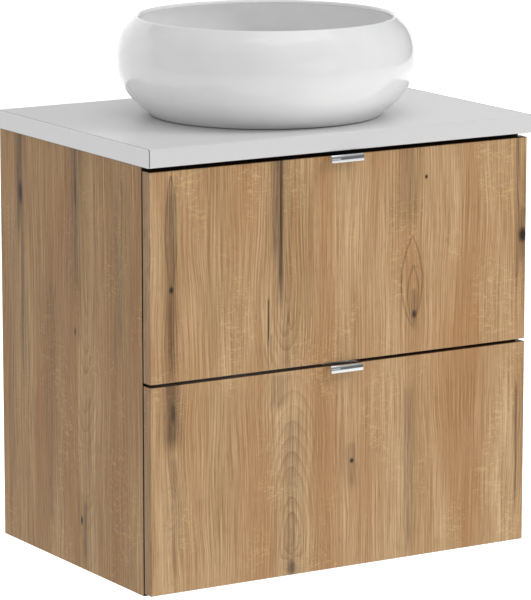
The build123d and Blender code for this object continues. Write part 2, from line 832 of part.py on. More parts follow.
def drawer_back(drawer, x0, x1):
    floor = box_bottoms[drawer] + drawer_bottom_thickness
    top = box_bottoms[drawer] + box_heights[drawer]
    board = block(x0, x1, box_back - drawer_board, box_back, floor, top)
    return cut(board, box_screw_holes(drawer))


def drawer_screws(drawer):
    solids = [screw(board_screw, seat, way) for seat, way in box_screw_seats(drawer)]
    solids += [screw(front_screw, seat, way) for seat, way in front_screw_seats(drawer)]
    solids += [screw(handle_screw, seat, way) for seat, way in handle_screw_seats(drawer)]
    solids += [screw(runner_screw, seat, way) for seat, way in drawer_runner_seats(drawer)]
    return group(solids)


# ---------------------------------------------------------------- basin
def basin():
    """Ceramic bowl turned about its axis, with its belly above the middle and a rim drawn in."""
    rim_top = basin_height - basin_rim_thickness / 2
    inner_rim = basin_rim_radius - basin_rim_thickness
    bore = waste_radius + waste_hole_clearance
    seat_radius = waste_flange_radius + flange_seat_clearance
    drain_z = basin_floor_height - basin_floor_fall
    seat_z = drain_z - waste_flange_thickness
    foot = (basin_foot_radius, 0)
    belly = (basin_belly_radius, basin_belly_height)
    inner_belly = (basin_belly_radius - basin_wall, basin_belly_height)
    floor_edge = (basin_floor_radius, basin_floor_height)
    floor_slope = basin_floor_fall / (basin_floor_radius - seat_radius)
    outline = [
        Spline(foot, belly, tangents=[(1, basin_foot_slope), (0, 1)]),
        Spline(belly, (basin_rim_radius, rim_top), tangents=[(0, 1), (-1, basin_rim_slope)]),
        ThreePointArc((basin_rim_radius, rim_top),
                      (basin_rim_radius - basin_rim_thickness / 2, basin_height),
                      (inner_rim, rim_top)),
        Spline((inner_rim, rim_top), inner_belly, tangents=[(1, -basin_rim_slope), (0, -1)]),
        Spline(inner_belly, floor_edge, tangents=[(0, -1), (-1, -floor_slope)]),
        Polyline(floor_edge, (seat_radius, drain_z), (seat_radius, seat_z), (bore, seat_z), (bore, 0), foot),
    ]
    section = Plane.XZ * make_face(outline)
    return Pos(0, basin_y, basin_bottom) * revolve(section, Axis.Z)


def basin_seal():
    outer = basin_foot_radius - seal_inset
    return tube(outer, outer - seal_width, (0, basin_y, worktop_top), (0, basin_y, basin_bottom))


# ---------------------------------------------------------------- waste
def on_axis(z):
    """Point on the basin's axis."""
    return Vector(0, basin_y, z)


def waste_flange():
    return tube(waste_flange_radius, waste_bore, on_axis(flange_seat), on_axis(drain_floor))


def waste_body():
    body = tube(waste_radius, waste_bore, on_axis(waste_end), on_axis(flange_seat))
    guide_top = flange_seat - plug_guide_drop
    guide_bottom = guide_top - plug_guide_height
    bush = plug_stem_radius + plug_guide_wall
    guide = rod(bush, on_axis(guide_bottom), on_axis(guide_top))
    reach = (waste_bore + waste_radius) / 2
    bar = plug_guide_wall / 2
    guide += block(-reach, reach, basin_y - bar, basin_y + bar, guide_bottom, guide_top)
    guide += block(-bar, bar, basin_y - reach, basin_y + reach, guide_bottom, guide_top)
    guide -= rod(plug_stem_radius + stem_clearance, on_axis(guide_bottom - 1), on_axis(guide_top + 1))
    return body + guide


def waste_gasket():
    return tube(gasket_radius, waste_radius + thread_clearance, on_axis(cabinet_top - gasket_thickness),
                on_axis(cabinet_top))


def waste_backnut():
    top = cabinet_top - gasket_thickness
    return hex_ring(backnut_across_flats, waste_radius + thread_clearance, on_axis(top - backnut_height),
                    on_axis(top))


plug_underside = drain_floor + plug_travel + plug_seal_thickness + stem_clearance


def waste_plug():
    cap = rod(plug_radius, on_axis(plug_underside), on_axis(plug_underside + plug_thickness))
    cap = fillet(cap.edges().group_by(Axis.Z)[-1], plug_edge_radius)
    stem_end = plug_underside - plug_stem_length
    return cap + rod(plug_stem_radius, on_axis(stem_end), on_axis(plug_underside))


def plug_seal():
    bottom = plug_underside - plug_seal_thickness
    bore = plug_seal_radius - plug_seal_width
    return tube(plug_seal_radius, bore, on_axis(bottom), on_axis(plug_underside))


# ---------------------------------------------------------------- trap
def coupling_nut(end, way, lip_start, thread_radius):
    """Nut that grips a flanged pipe against a threaded end; way points from the thread to the pipe."""
    start = end - way * coupling_nut_cover
    finish = lip_start + way * coupling_nut_lip
    nut = rod(coupling_nut_radius, start, finish)
    nut -= rod(thread_radius + thread_clearance, start - way, lip_start)
    nut -= rod(pipe_radius + screw_clearance, lip_start - way, finish + way)
    sideways = way.cross(Vector(1, 0, 0))
    for index in range(nut_flutes):
        angle = 360 * index / nut_flutes
        across = (sideways * (coupling_nut_radius + nut_flute_offset)).rotate(Axis((0, 0, 0), way), angle)
        nut -= rod(nut_flute_radius, start + across - way, finish + across + way)
    return nut


def trap_nuts():
    upper = coupling_nut(on_axis(waste_end), DOWN, on_axis(waste_end - pipe_flange_thickness), waste_radius)
    collar_top = trap_top + trap_collar_length
    inlet = coupling_nut(on_axis(collar_top), UP, on_axis(collar_top), trap_collar_radius)
    collar = Vector(0, outlet_collar_end, outlet_z)
    outlet = coupling_nut(collar, TO_WALL, collar + TO_WALL * pipe_flange_thickness, trap_collar_radius)
    return group([upper, inlet, outlet])


def trap_inlet_tube():
    bottom = trap_bottom - trap_dip
    pipe = rod(pipe_radius, on_axis(bottom), on_axis(waste_end))
    pipe += rod(pipe_flange_radius, on_axis(waste_end - pipe_flange_thickness), on_axis(waste_end))
    return pipe - rod(pipe_radius - pipe_wall, on_axis(bottom - 1), on_axis(waste_end + 1))


def trap_body():
    """Upper half of the bottle trap, open below, with an inlet collar and an outlet collar."""
    collar_top = trap_top + trap_collar_length
    outlet_start = Vector(0, basin_y, outlet_z)
    outlet_end = Vector(0, outlet_collar_end, outlet_z)
    outside = rod(trap_radius, on_axis(trap_bottom), on_axis(trap_top))
    outside = fillet(outside.edges().group_by(Axis.Z)[-1], trap_shoulder_radius)
    ceiling = trap_top - 2 * trap_wall
    outside += rod(trap_collar_radius, on_axis(ceiling), on_axis(collar_top))
    outside += rod(trap_collar_radius, outlet_start, outlet_end)
    inside = rod(trap_radius - trap_wall, on_axis(trap_bottom - 1), on_axis(ceiling))
    inlet_bore = rod(pipe_radius + screw_clearance, on_axis(ceiling - 1), on_axis(collar_top + 1))
    outlet_bore = rod(pipe_radius - pipe_wall, outlet_start, outlet_end + TO_WALL)
    return outside - inside - inlet_bore - outlet_bore


def trap_cup():
    """Cup that screws on below the trap body, ribbed for grip."""
    rim = trap_bottom + trap_cup_cover
    floor = trap_bottom - trap_cup_height + trap_cup_cover
    cup = rod(trap_cup_radius, on_axis(floor), on_axis(rim))
    cup = fillet(cup.edges().group_by(Axis.Z)[0], trap_cup_rounding)
    cup -= rod(trap_radius - trap_wall, on_axis(floor + trap_wall), on_axis(rim + 1))
    cup -= rod(trap_radius + thread_clearance, on_axis(trap_bottom), on_axis(rim + 1))
    for index in range(cup_ribs):
        turn = Rotation(0, 0, 360 * index / cup_ribs)
        across = (turn * Pos(trap_cup_radius + cup_rib_offset, 0, 0)).position
        cup -= rod(cup_rib_radius, on_axis(floor + cup_rib_start) + across, on_axis(rim + 1) + across)
    return cup


def trap_outlet_pipe():
    start = Vector(0, outlet_collar_end, outlet_z)
    end = Vector(0, 0, outlet_z)
    bead = end + TO_FRONT * outlet_spigot_length
    pipe = rod(pipe_radius, start, end)
    pipe += rod(pipe_flange_radius, start, start + TO_WALL * pipe_flange_thickness)
    pipe += rod(outlet_bead_radius, bead + TO_FRONT * outlet_bead_width, bead)
    return pipe - rod(pipe_radius - pipe_wall, start + TO_FRONT, end + TO_WALL)


# ---------------------------------------------------------------- nodes
nodes = {
    "left_side_panel": side_panel(-1),
    "right_side_panel": side_panel(1),
    "bottom_panel": bottom_panel(),
    "front_top_rail": front_top_rail(),
    "rear_top_rail": rear_top_rail(),
    "rear_lower_rail": rear_lower_rail(),
    "carcass_dowels": carcass_dowels(),
    "cam_fittings": cam_fittings(),
    "front_bumpers": front_bumpers(),
    "worktop": worktop(),
    "worktop_left_edge_band": worktop_edge_band(-1),
    "worktop_right_edge_band": worktop_edge_band(1),
    "worktop_brackets": worktop_brackets(),
    "worktop_screws": worktop_screws(),
    "wall_plates": wall_plates(),
    "hanger_housings": hanger_housings(),
    "hanger_hooks": hanger_hooks(),
    "hanger_screws": hanger_screws(),
    "runner_cabinet_members": runner_cabinet_members(),
    "runner_cabinet_screws": runner_cabinet_screws(),
    "basin": basin(),
    "basin_seal": basin_seal(),
    "waste_flange": waste_flange(),
    "waste_body": waste_body(),
    "waste_gasket": waste_gasket(),
    "waste_backnut": waste_backnut(),
    "waste_plug": waste_plug(),
    "plug_seal": plug_seal(),
    "trap_nuts": trap_nuts(),
    "trap_inlet_tube": trap_inlet_tube(),
    "trap_body": trap_body(),
    "trap_cup": trap_cup(),
    "trap_outlet_pipe": trap_outlet_pipe(),
    "upper_drawer_trap_surround": trap_surround(),
    "lower_drawer_back": drawer_back("lower", -drawer_inner_half, drawer_inner_half),
}

surround_half = trap_slot_half_width + trap_surround_wall
nodes["upper_drawer_left_back"] = drawer_back("upper", -drawer_inner_half, -surround_half)
nodes["upper_drawer_right_back"] = drawer_back("upper", surround_half, drawer_inner_half)

for drawer in drawers:
    nodes[drawer + "_drawer_front"] = drawer_front(drawer)
    nodes[drawer + "_drawer_subfront"] = drawer_subfront(drawer)
    nodes[drawer + "_drawer_left_side"] = drawer_side(drawer, -1)
    nodes[drawer + "_drawer_right_side"] = drawer_side(drawer, 1)
    nodes[drawer + "_drawer_bottom"] = drawer_bottom(drawer)
    nodes[drawer + "_drawer_screws"] = drawer_screws(drawer)
    nodes[drawer + "_handle"] = handle(drawer)
    nodes[drawer + "_runner_drawer_members"] = drawer_runner_members(drawer)
    nodes[drawer + "_runner_middle_members"] = runner_middle_members(drawer)
    nodes[drawer + "_outer_ball_cages"] = ball_cages(drawer, middle_flange)
    nodes[drawer + "_inner_ball_cages"] = ball_cages(drawer, inner_flange)

os.makedirs("parts", exist_ok=True)
for name, shape in nodes.items():
    export_step(shape, "parts/" + name + ".step")
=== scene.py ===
import bmesh
import bpy
import math
from bpy.props import FloatProperty, FloatVectorProperty, IntProperty, PointerProperty
from bpy.types import Operator, Panel, PropertyGroup
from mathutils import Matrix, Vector


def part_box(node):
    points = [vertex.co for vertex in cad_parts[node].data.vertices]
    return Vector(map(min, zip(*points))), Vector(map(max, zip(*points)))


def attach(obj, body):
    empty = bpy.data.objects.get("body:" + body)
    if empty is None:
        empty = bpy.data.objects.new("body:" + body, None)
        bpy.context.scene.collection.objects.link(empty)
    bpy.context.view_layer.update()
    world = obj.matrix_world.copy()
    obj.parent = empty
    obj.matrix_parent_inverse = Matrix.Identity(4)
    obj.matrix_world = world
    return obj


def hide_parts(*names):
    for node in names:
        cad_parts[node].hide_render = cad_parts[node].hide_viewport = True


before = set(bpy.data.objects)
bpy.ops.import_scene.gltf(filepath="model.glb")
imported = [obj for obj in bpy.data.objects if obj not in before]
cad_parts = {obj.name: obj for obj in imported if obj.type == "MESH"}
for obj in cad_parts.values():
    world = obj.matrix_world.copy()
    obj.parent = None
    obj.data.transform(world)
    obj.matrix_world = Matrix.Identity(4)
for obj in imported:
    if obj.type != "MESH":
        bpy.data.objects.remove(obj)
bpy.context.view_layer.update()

bl_info = {
    "name": "Vessel sink on vanity",
    "version": (1, 0, 0),
    "blender": (4, 5, 0),
    "location": "3D View > Sidebar > Vanity",
    "description": "Builds the finished look of a wall-hung vanity with a vessel basin",
    "category": "Object",
}

MM = 0.001
ONE_OVER_E = math.exp(-1)
# Levels, places and sizes on the object, in mm.
WORKTOP_UNDERSIDE = 45.0
BASIN_UNDERSIDE = 71.0
END_BAND_JOINT = 299.1
PANEL_FRONT = -393
FRONT_HALF_WIDTH = 296
HIGHEST_FLAT_HEAD = 1.5

# Kinds of node: a type, and where one type has several uses, the setting that tells them apart.
TIMES, PLUS, MINUS, OVER, POWER, HIGHEST, FLOOR, FRACTION, SINE, ABSOLUTE, TIMES_PLUS = (
    ("ShaderNodeMath", {"operation": operation}) for operation in
    ("MULTIPLY", "ADD", "SUBTRACT", "DIVIDE", "POWER", "MAXIMUM", "FLOOR", "FRACT", "SINE", "ABSOLUTE",
     "MULTIPLY_ADD"))
VECTOR_MINUS, VECTOR_TIMES, VECTOR_SCALE, LENGTH = (
    ("ShaderNodeVectorMath", {"operation": operation}) for operation in
    ("SUBTRACT", "MULTIPLY", "SCALE", "LENGTH"))
BLEND = ("ShaderNodeMix", {"data_type": "RGBA"})
RANGE = "ShaderNodeMapRange"
EASE = ("ShaderNodeMapRange", {"interpolation_type": "SMOOTHSTEP"})
NOISE = "ShaderNodeTexNoise"
CELLS = "ShaderNodeTexVoronoi"
STRETCH = "ShaderNodeMapping"
SPLIT = "ShaderNodeSeparateXYZ"
JOIN = "ShaderNodeCombineXYZ"
BUMP = "ShaderNodeBump"
MESH_BOX = "GeometryNodeMeshCube"
MESH_ROD = "GeometryNodeMeshCylinder"
MESH_CONE = "GeometryNodeMeshCone"
MESH_ALONG = "GeometryNodeCurveToMesh"
COPIES = "GeometryNodeInstanceOnPoints"
MOVE = "GeometryNodeTransform"
GATHER = "GeometryNodeJoinGeometry"


def linear(hex_colour):
    """Linear colour of an sRGB hex value."""
    parts = [int(hex_colour[i:i + 2], 16) / 255 for i in (1, 3, 5)]
    return tuple(c / 12.92 if c <= 0.04045 else ((c + 0.055) / 1.055) ** 2.4 for c in parts)


def add(tree, kind, *inputs, **named):
    """Adds a node; inputs are values or links in order, and names with a capital letter are inputs too."""
    node_type, settings = (kind, {}) if isinstance(kind, str) else kind
    node = tree.nodes.new(node_type)
    for name, value in (*settings.items(), *named.items()):
        if name[0].islower():
            setattr(node, name, value)
    given = list(zip((socket for socket in node.inputs if socket.enabled), inputs))
    given += [(node.inputs[name.replace("_", " ")], value) for name, value in named.items()
              if name[0].isupper()]
    for socket, value in given:
        for source in value if isinstance(value, list) else [value]:
            if isinstance(source, bpy.types.Node):
                source = next(s for s in source.outputs if s.enabled)
            if isinstance(source, bpy.types.NodeSocket):
                tree.links.new(source, socket)
            elif socket.type == "RGBA":
                socket.default_value = (*source[:3], 1.0)
            else:
                socket.default_value = source
    return node


def new_finish(name):
    """Empty material; returns it, its tree and the place in mm."""
    material = bpy.data.materials.new(name)
    material.use_nodes = True
    tree = material.node_tree
    tree.nodes.clear()
    spot = add(tree, "ShaderNodeTexCoord").outputs["Object"]
    return material, tree, add(tree, VECTOR_SCALE, spot, Scale=1 / MM)


def close_finish(material, relief=None, **sockets):
    """Gives a material its Principled shader; relief is (height, strength, depth in mm)."""
    tree = material.node_tree
    if relief:
        height, strength, depth = relief
        sockets["Normal"] = add(tree, BUMP, Height=height, Strength=strength, Distance=depth * MM)
    shader = add(tree, "ShaderNodeBsdfPrincipled", **sockets)
    add(tree, "ShaderNodeOutputMaterial", Surface=shader)
    return material


# ---------------------------------------------------------------- what a user would change
class OakColours(PropertyGroup):
    """Colours of the oak decor."""
    light: FloatVectorProperty(
        name="Light wood", description="Wood between the growth rings", default=linear("#EACA9C"),
        subtype="COLOR", min=0, max=1)
    warm: FloatVectorProperty(
        name="Warm wood", description="Broad darker bands along the grain", default=linear("#C79A69"),
        subtype="COLOR", min=0, max=1)
    ring: FloatVectorProperty(
        name="Ring lines", description="Dark side of each growth ring", default=linear("#9E7246"),
        subtype="COLOR", min=0, max=1)
    pore: FloatVectorProperty(
        name="Pores", description="Open pores of the early wood", default=linear("#69472A"),
        subtype="COLOR", min=0, max=1)
    heart: FloatVectorProperty(
        name="Heart streaks", description="Grey-brown streaks of the heartwood", default=linear("#432F20"),
        subtype="COLOR", min=0, max=1)
    knot: FloatVectorProperty(
        name="Knots", description="Dark middle of a knot", default=linear("#2B1B12"), subtype="COLOR",
        min=0, max=1)
    ring_spacing: FloatProperty(
        name="Ring spacing", description="Distance between growth rings, in mm", default=5.4, min=1, max=30)


class SolidColours(PropertyGroup):
    """Colours of the parts that aren't oak decor."""
    laminate: FloatVectorProperty(
        name="Worktop", description="White laminate of the worktop", default=linear("#E2E2E2"),
        subtype="COLOR", min=0, max=1)
    glaze: FloatVectorProperty(
        name="Basin", description="Glaze of the basin", default=linear("#F7F7F7"), subtype="COLOR", min=0,
        max=1)
    box: FloatVectorProperty(
        name="Drawer boxes", description="Linen-pattern board of the drawer boxes",
        default=linear("#8B8C8D"), subtype="COLOR", min=0, max=1)
    floor: FloatVectorProperty(
        name="Floor", description="Floor and backdrop of the studio", default=linear("#FAFAFA"),
        subtype="COLOR", min=0, max=1)


class BasinSizes(PropertyGroup):
    """Sizes of the basin's turned section."""
    foot_radius: FloatProperty(
        name="Foot radius", description="Outer edge of the flat foot", default=158 * MM, unit="LENGTH",
        subtype="DISTANCE")
    belly_radius: FloatProperty(
        name="Belly radius", description="Widest part of the bowl", default=202.5 * MM, unit="LENGTH",
        subtype="DISTANCE")
    belly_height: FloatProperty(
        name="Belly height", description="Foot to the widest part", default=74 * MM, unit="LENGTH",
        subtype="DISTANCE")
    rim_radius: FloatProperty(
        name="Rim radius", description="Outside of the rim", default=179.5 * MM, unit="LENGTH",
        subtype="DISTANCE")
    rim_width: FloatProperty(
        name="Rim width", description="Thickness of the rounded rim", default=6.5 * MM, unit="LENGTH",
        subtype="DISTANCE")
    wall: FloatProperty(
        name="Wall", description="Thickness of the belly's wall", default=9 * MM, unit="LENGTH",
        subtype="DISTANCE")
    steps_around: IntProperty(name="Steps around", description="Faces around the axis", default=256, min=24)


class StudioLight(PropertyGroup):
    """Strengths of the studio's lights."""
    key: FloatProperty(
        name="Key", description="Large softbox in front, to the right", default=52.0, unit="POWER", min=0)
    side: FloatProperty(name="Side", description="Softbox on the left", default=21.0, unit="POWER", min=0)
    front: FloatProperty(name="Front", description="Softbox low in front", default=5.0, unit="POWER", min=0)
    top: FloatProperty(name="Top", description="Softbox overhead", default=9.0, unit="POWER", min=0)
    backdrop: FloatProperty(
        name="Backdrop", description="Light that washes the paper behind", default=150.0, unit="POWER", min=0)
    surround: FloatProperty(name="Surround", description="Brightness of the room around", default=0.6, min=0)


# ---------------------------------------------------------------- finishes
def drawn_out(tree, spot, lengths, start=(0, 0, 0), **settings):
    """Pattern of noise whose features have given lengths in mm along X, Y and Z."""
    place = add(tree, STRETCH, Vector=spot, Location=start, Scale=tuple(1 / length for length in lengths))
    return add(tree, NOISE, Vector=place, Scale=1.0, **settings)


def bell(tree, distance):
    """Strength that is one at no distance and falls to nothing past two."""
    return add(tree, POWER, ONE_OVER_E, add(tree, TIMES, distance, distance))


def around_knots(tree, on_face, rings, knots):
    """Bends the rings around the knots; returns the rings, how near a knot is and the knots' dark cores."""
    near = dark = 0.0
    for x, z, half_width, half_length, push, darkness in knots:
        offset = add(tree, VECTOR_MINUS, on_face, (x, z, 0))
        offset = add(tree, VECTOR_TIMES, offset, (1 / half_width, 1 / half_length, 0))
        away = add(tree, LENGTH, offset).outputs["Value"]
        swell = bell(tree, away)
        rings = add(tree, TIMES_PLUS, swell, push, rings)
        near = add(tree, HIGHEST, near, swell)
        if darkness:
            dark = add(tree, HIGHEST, dark, add(tree, EASE, away, 0.62, 0.16, 0.0, darkness))
    return rings, near, dark


def heart_marks(tree, u, v, streaks, flames):
    """Streaks along the grain, and the pointed outlines that a buried branch leaves, as one strength."""
    marks = 0.0
    for x, half_width, low, high, strength in streaks:
        fade = (high - low) * 0.3
        streak = bell(tree, add(tree, OVER, add(tree, MINUS, u, x), half_width))
        streak = add(tree, TIMES, streak, add(tree, EASE, v, low, low + fade, 0.0, strength))
        streak = add(tree, TIMES, streak, add(tree, EASE, v, high - fade * 0.4, high, 1.0, 0.0))
        marks = add(tree, HIGHEST, marks, streak)
    for x, half_width, low, high, strength in flames:
        from_middle = add(tree, RANGE, v, low, high, -1.0, 1.0)
        swelling = add(tree, TIMES, from_middle, from_middle)
        edge = add(tree, TIMES_PLUS, swelling, -half_width, half_width)
        aside = add(tree, ABSOLUTE, add(tree, MINUS, u, x))
        gap = add(tree, ABSOLUTE, add(tree, MINUS, aside, edge))
        outline = add(tree, RANGE, gap, 0.4, 2.0, strength, 0.0)
        outline = add(tree, TIMES, outline, add(tree, RANGE, edge, 0.0, 0.6))
        marks = add(tree, HIGHEST, marks, outline)
    return marks


def oak_decor(name, across, heart, along="Z", knots=(), streaks=(), flames=(), ring_strength=0.62, shade=0.0,
              gap_shadow_edge=None, bands=None):
    """Melamine-faced board printed with plain-sawn oak and pressed with matching pores; every size is in mm.

    The rings are the cut through a log, so they run as arcs past the start of the heart and as straight
    lines everywhere else. The heart is (place across, where its arcs start, how fast the cut leaves the
    pith); knots are (across, along, half width, half length, push on the rings, darkness); streaks and
    flames are (across, half width, low end, high end, strength); bands are (half width, low end, high end)
    of a face whose edge bands get painted shade; shade darkens the whole board as painted shade, blue most;
    gap_shadow_edge is where a board's front edge is painted near black as painted shadow in the joint.
    """
    colours = bpy.context.scene.vanity_oak
    material, tree, mm = new_finish(name)
    axes = add(tree, SPLIT, mm)
    u, v = axes.outputs[across], axes.outputs[along]
    through = axes.outputs[next(axis for axis in "XYZ" if axis not in (across, along))]
    board = add(tree, JOIN, u, through, v)

    # Growth is uneven, so the lines sway over a hand's width and tremble over a few millimetres.
    sway = add(tree, TIMES_PLUS, drawn_out(tree, board, (75, 75, 210), Detail=1.5), 20.0, -10.0)
    shake = add(tree, TIMES_PLUS, drawn_out(tree, board, (14, 14, 90), Detail=3.0), 2.4, -1.2)
    bent = add(tree, PLUS, add(tree, PLUS, sway, u), shake)
    steady = add(tree, PLUS, u, shake)

    place, start, slope = heart
    aside = add(tree, MINUS, bent, place)
    deep = add(tree, HIGHEST, add(tree, TIMES_PLUS, v, slope, -slope * start), 0.0)
    rings = add(tree, LENGTH, add(tree, JOIN, aside, deep)).outputs["Value"]
    rings, beside, dark = around_knots(tree, add(tree, JOIN, steady, v), rings, knots)
    marks = heart_marks(tree, steady, v, streaks, flames)

    # Each ring darkens slowly towards its late wood and ends sharply. Some years are stronger than others,
    # and the lines are strongest beside the heart and the knots.
    phase = add(tree, OVER, rings, colours.ring_spacing)
    year = add(tree, FLOOR, phase)
    growth = add(tree, "ShaderNodeTexWhiteNoise", W=year, noise_dimensions="1D").outputs["Value"]
    weight = add(tree, RANGE, growth, 0.0, 1.0, 0.25 * ring_strength, ring_strength)
    line = add(tree, TIMES, add(tree, POWER, add(tree, FRACTION, phase), 2.6), weight)
    near = add(tree, HIGHEST, add(tree, RANGE, rings, 30.0, 95.0, 1.0, 0.22), beside)
    line = add(tree, TIMES, line, near)

    # Real oak pores are 0.3 mm wide and fibres finer; both are drawn 1 to 2 mm wide so that they show. They
    # follow the sway of the rings.
    flow = add(tree, JOIN, bent, through, v)
    fibre = drawn_out(tree, flow, (1.5, 1.5, 130), Detail=4.0, Roughness=0.62)
    coarse = drawn_out(tree, flow, (3.1, 3.1, 320), (7.7, 0.3, 2.9), Detail=3.0, Roughness=0.55)
    pore = add(tree, RANGE, drawn_out(tree, flow, (1.5, 1.5, 20), Detail=2.0), 0.54, 0.7)
    pore = add(tree, TIMES, pore, add(tree, RANGE, line, 0.0, 0.4, 0.5, 1.0))

    # Ray flecks are short pale wavy marks across the grain, and come in patches.
    fleck = drawn_out(tree, board, (11, 11, 4), Detail=2.0, Distortion=1.1)
    patch = drawn_out(tree, board, (60, 60, 110), (3.1, 1.7, 5.3), Detail=1.0)
    fleck = add(tree, TIMES, add(tree, RANGE, fleck, 0.54, 0.66), add(tree, RANGE, patch, 0.5, 0.62))

    tone = add(tree, RANGE, drawn_out(tree, flow, (58, 58, 520), Detail=2.5, Roughness=0.55), 0.34, 0.68)
    # Streaks are broken up by the fibres that they follow.
    worn = add(tree, RANGE, fibre, 0.3, 0.6, 0.55, 1.15)
    layers = [(add(tree, RANGE, coarse, 0.38, 0.62, 0.0, 0.34), colours.ring),
              (line, colours.ring),
              (add(tree, RANGE, fibre, 0.4, 0.62, 0.0, 0.78), colours.ring),
              (add(tree, TIMES, pore, 0.42), colours.pore),
              (add(tree, TIMES, fleck, 0.3), linear("#EFCE96")),
              (add(tree, TIMES, marks, worn, use_clamp=True), colours.heart),
              (dark, colours.knot)]
    colour = add(tree, BLEND, tone, colours.light, colours.warm)
    for share, over in layers:
        colour = add(tree, BLEND, share, colour, over)
    # Painted shade: the whole board is darkened, blue most, for the weaker light on boards that face the side
    # or sit inside.
    if shade:
        colour = add(tree, VECTOR_TIMES, colour, (1 - shade, 1 - shade * 1.12, 1 - shade * 1.5))
    if bands:
        # Painted shade: the edge bands are darkened, top and bottom most, for the shade on edges turned from
        # the light and in the gaps.
        half, low, high = bands
        out = add(tree, ABSOLUTE, u)
        painted_side_shade = add(tree, RANGE, out, half - 0.4, half - 0.2, 0.0, 0.42)
        painted_top_shade = add(tree, RANGE, v, high - 0.4, high - 0.2, 0.0, 0.8)
        painted_low_shade = add(tree, RANGE, v, low + 0.2, low + 0.4, 0.7, 0.0)
        painted_shade_band = add(tree, HIGHEST, add(tree, HIGHEST, painted_side_shade, painted_top_shade), painted_low_shade)
        colour = add(tree, BLEND, painted_shade_band, colour, linear("#3B2715"))
    if gap_shadow_edge is not None:
        # Painted shadow: the board's front edge is painted near black, so that the joint beside the fronts
        # reads as a shadow line.
        painted_shade_band = add(tree, RANGE, axes.outputs["Y"], gap_shadow_edge + 0.3, gap_shadow_edge + 0.6, 1.0, 0.0)
        colour = add(tree, BLEND, painted_shade_band, colour, linear("#1A120C"))
    # Pressed melamine is a satin film: broad soft sheen, a little duller in the pores.
    dull = add(tree, RANGE, pore, 0.0, 1.0, 0.46, 0.66)
    sunk = add(tree, TIMES_PLUS, pore, -1.0, fibre)
    return close_finish(material, (sunk, 0.35, 0.06), Base_Color=colour, Roughness=dull,
                        Specular_IOR_Level=0.35)


def white_laminate():
    """White laminate on board, with the glue lines of its end bands."""
    # Pressed against a matt plate: even white with a pearl-like micro relief, no grain.
    material, tree, mm = new_finish("white laminate")
    pearl = add(tree, NOISE, Vector=mm, Scale=1 / 0.9, Detail=2.0)
    cloud = add(tree, NOISE, Vector=mm, Scale=1 / 120, Detail=1.0)
    shade = add(tree, RANGE, cloud, 0.3, 0.7, 0.0, 0.05)
    colour = add(tree, BLEND, shade, bpy.context.scene.vanity_colours.laminate, linear("#D2D3D5"))
    axes = add(tree, SPLIT, mm)
    # Painted shade: the underside is painted near black, given as a dark phenolic balancing sheet, so that
    # the drawer gap and its reflection in the pulls read dark.
    under = add(tree, RANGE, axes.outputs["Z"], WORKTOP_UNDERSIDE + 0.15, WORKTOP_UNDERSIDE + 0.35, 1.0, 0.0)
    colour = add(tree, BLEND, under, colour, linear("#2B2019"))
    # The glue line is 0.2 mm on the real board; it is drawn 1.4 mm wide so that it shows.
    off = add(tree, MINUS, add(tree, ABSOLUTE, axes.outputs["X"]), END_BAND_JOINT)
    glue = add(tree, RANGE, add(tree, ABSOLUTE, off), 0.6, 0.8, 0.9, 0.0)
    colour = add(tree, BLEND, glue, colour, linear("#4A4642"))
    sheen = add(tree, RANGE, pearl, 0.0, 1.0, 0.36, 0.5)
    return close_finish(material, (pearl, 0.12, 0.02), Base_Color=colour, Roughness=sheen,
                        Specular_IOR_Level=0.4)


def glazed_ceramic():
    """Glazed fireclay: a thick glossy glaze over a matt body that shows on the foot."""
    # The glaze is poured and fired, so it lies in very shallow waves and has a few pin marks.
    material, tree, mm = new_finish("glazed fireclay")
    wave = add(tree, NOISE, Vector=mm, Scale=1 / 38, Detail=1.5)
    warmth = add(tree, RANGE, wave, 0.35, 0.65, 0.0, 0.5)
    colour = add(tree, BLEND, warmth, bpy.context.scene.vanity_colours.glaze, linear("#F2F2F2"))
    pin = add(tree, RANGE, add(tree, CELLS, Vector=mm, Scale=1 / 16), 0.018, 0.03, 0.35, 0.0)
    colour = add(tree, BLEND, pin, colour, linear("#B9B4AA"))
    height = add(tree, SPLIT, mm).outputs["Z"]
    foot = add(tree, RANGE, height, BASIN_UNDERSIDE + 0.1, BASIN_UNDERSIDE + 0.6, 1.0, 0.0)
    colour = add(tree, BLEND, foot, colour, linear("#D8D6D2"))
    dull = add(tree, RANGE, foot, 0.0, 1.0, 0.09, 0.85)
    return close_finish(material, (wave, 0.25, 0.25), Base_Color=colour, Roughness=dull, Coat_Weight=0.35,
                        Coat_Roughness=0.03, Coat_IOR=1.5)


def plated_metal(name, hex_bright, hex_dull, roughness, grain_mm, relief_mm):
    """Bare or plated metal with a crystal grain or polishing marks of a given size."""
    material, tree, mm = new_finish(name)
    grain = add(tree, CELLS, Vector=mm, Scale=1 / grain_mm).outputs["Color"]
    haze = add(tree, NOISE, Vector=mm, Scale=1 / (grain_mm * 6), Detail=3.0)
    mottle = add(tree, TIMES, add(tree, SPLIT, grain).outputs["X"], haze)
    colour = add(tree, BLEND, mottle, linear(hex_bright), linear(hex_dull))
    worn = add(tree, RANGE, haze, 0.3, 0.7, roughness * 0.8, roughness * 1.3)
    return close_finish(material, (haze, 0.2, relief_mm), Base_Color=colour, Roughness=worn, Metallic=1.0)


def turned_brass():
    """Cast brass, turned and threaded: fine rings across the axis, unplated inside the cabinet."""
    material, tree, mm = new_finish("turned brass")
    thread_pitch = 1.8
    turn = add(tree, TIMES, add(tree, SPLIT, mm).outputs["Z"], math.tau / thread_pitch)
    thread = add(tree, SINE, turn)
    stain = add(tree, NOISE, Vector=mm, Scale=1 / 9, Detail=4.0)
    colour = add(tree, BLEND, stain, linear("#DDBD74"), linear("#A67C3A"))
    worn = add(tree, RANGE, stain, 0.3, 0.7, 0.22, 0.4)
    return close_finish(material, (thread, 0.6, 0.35), Base_Color=colour, Roughness=worn, Metallic=1.0)


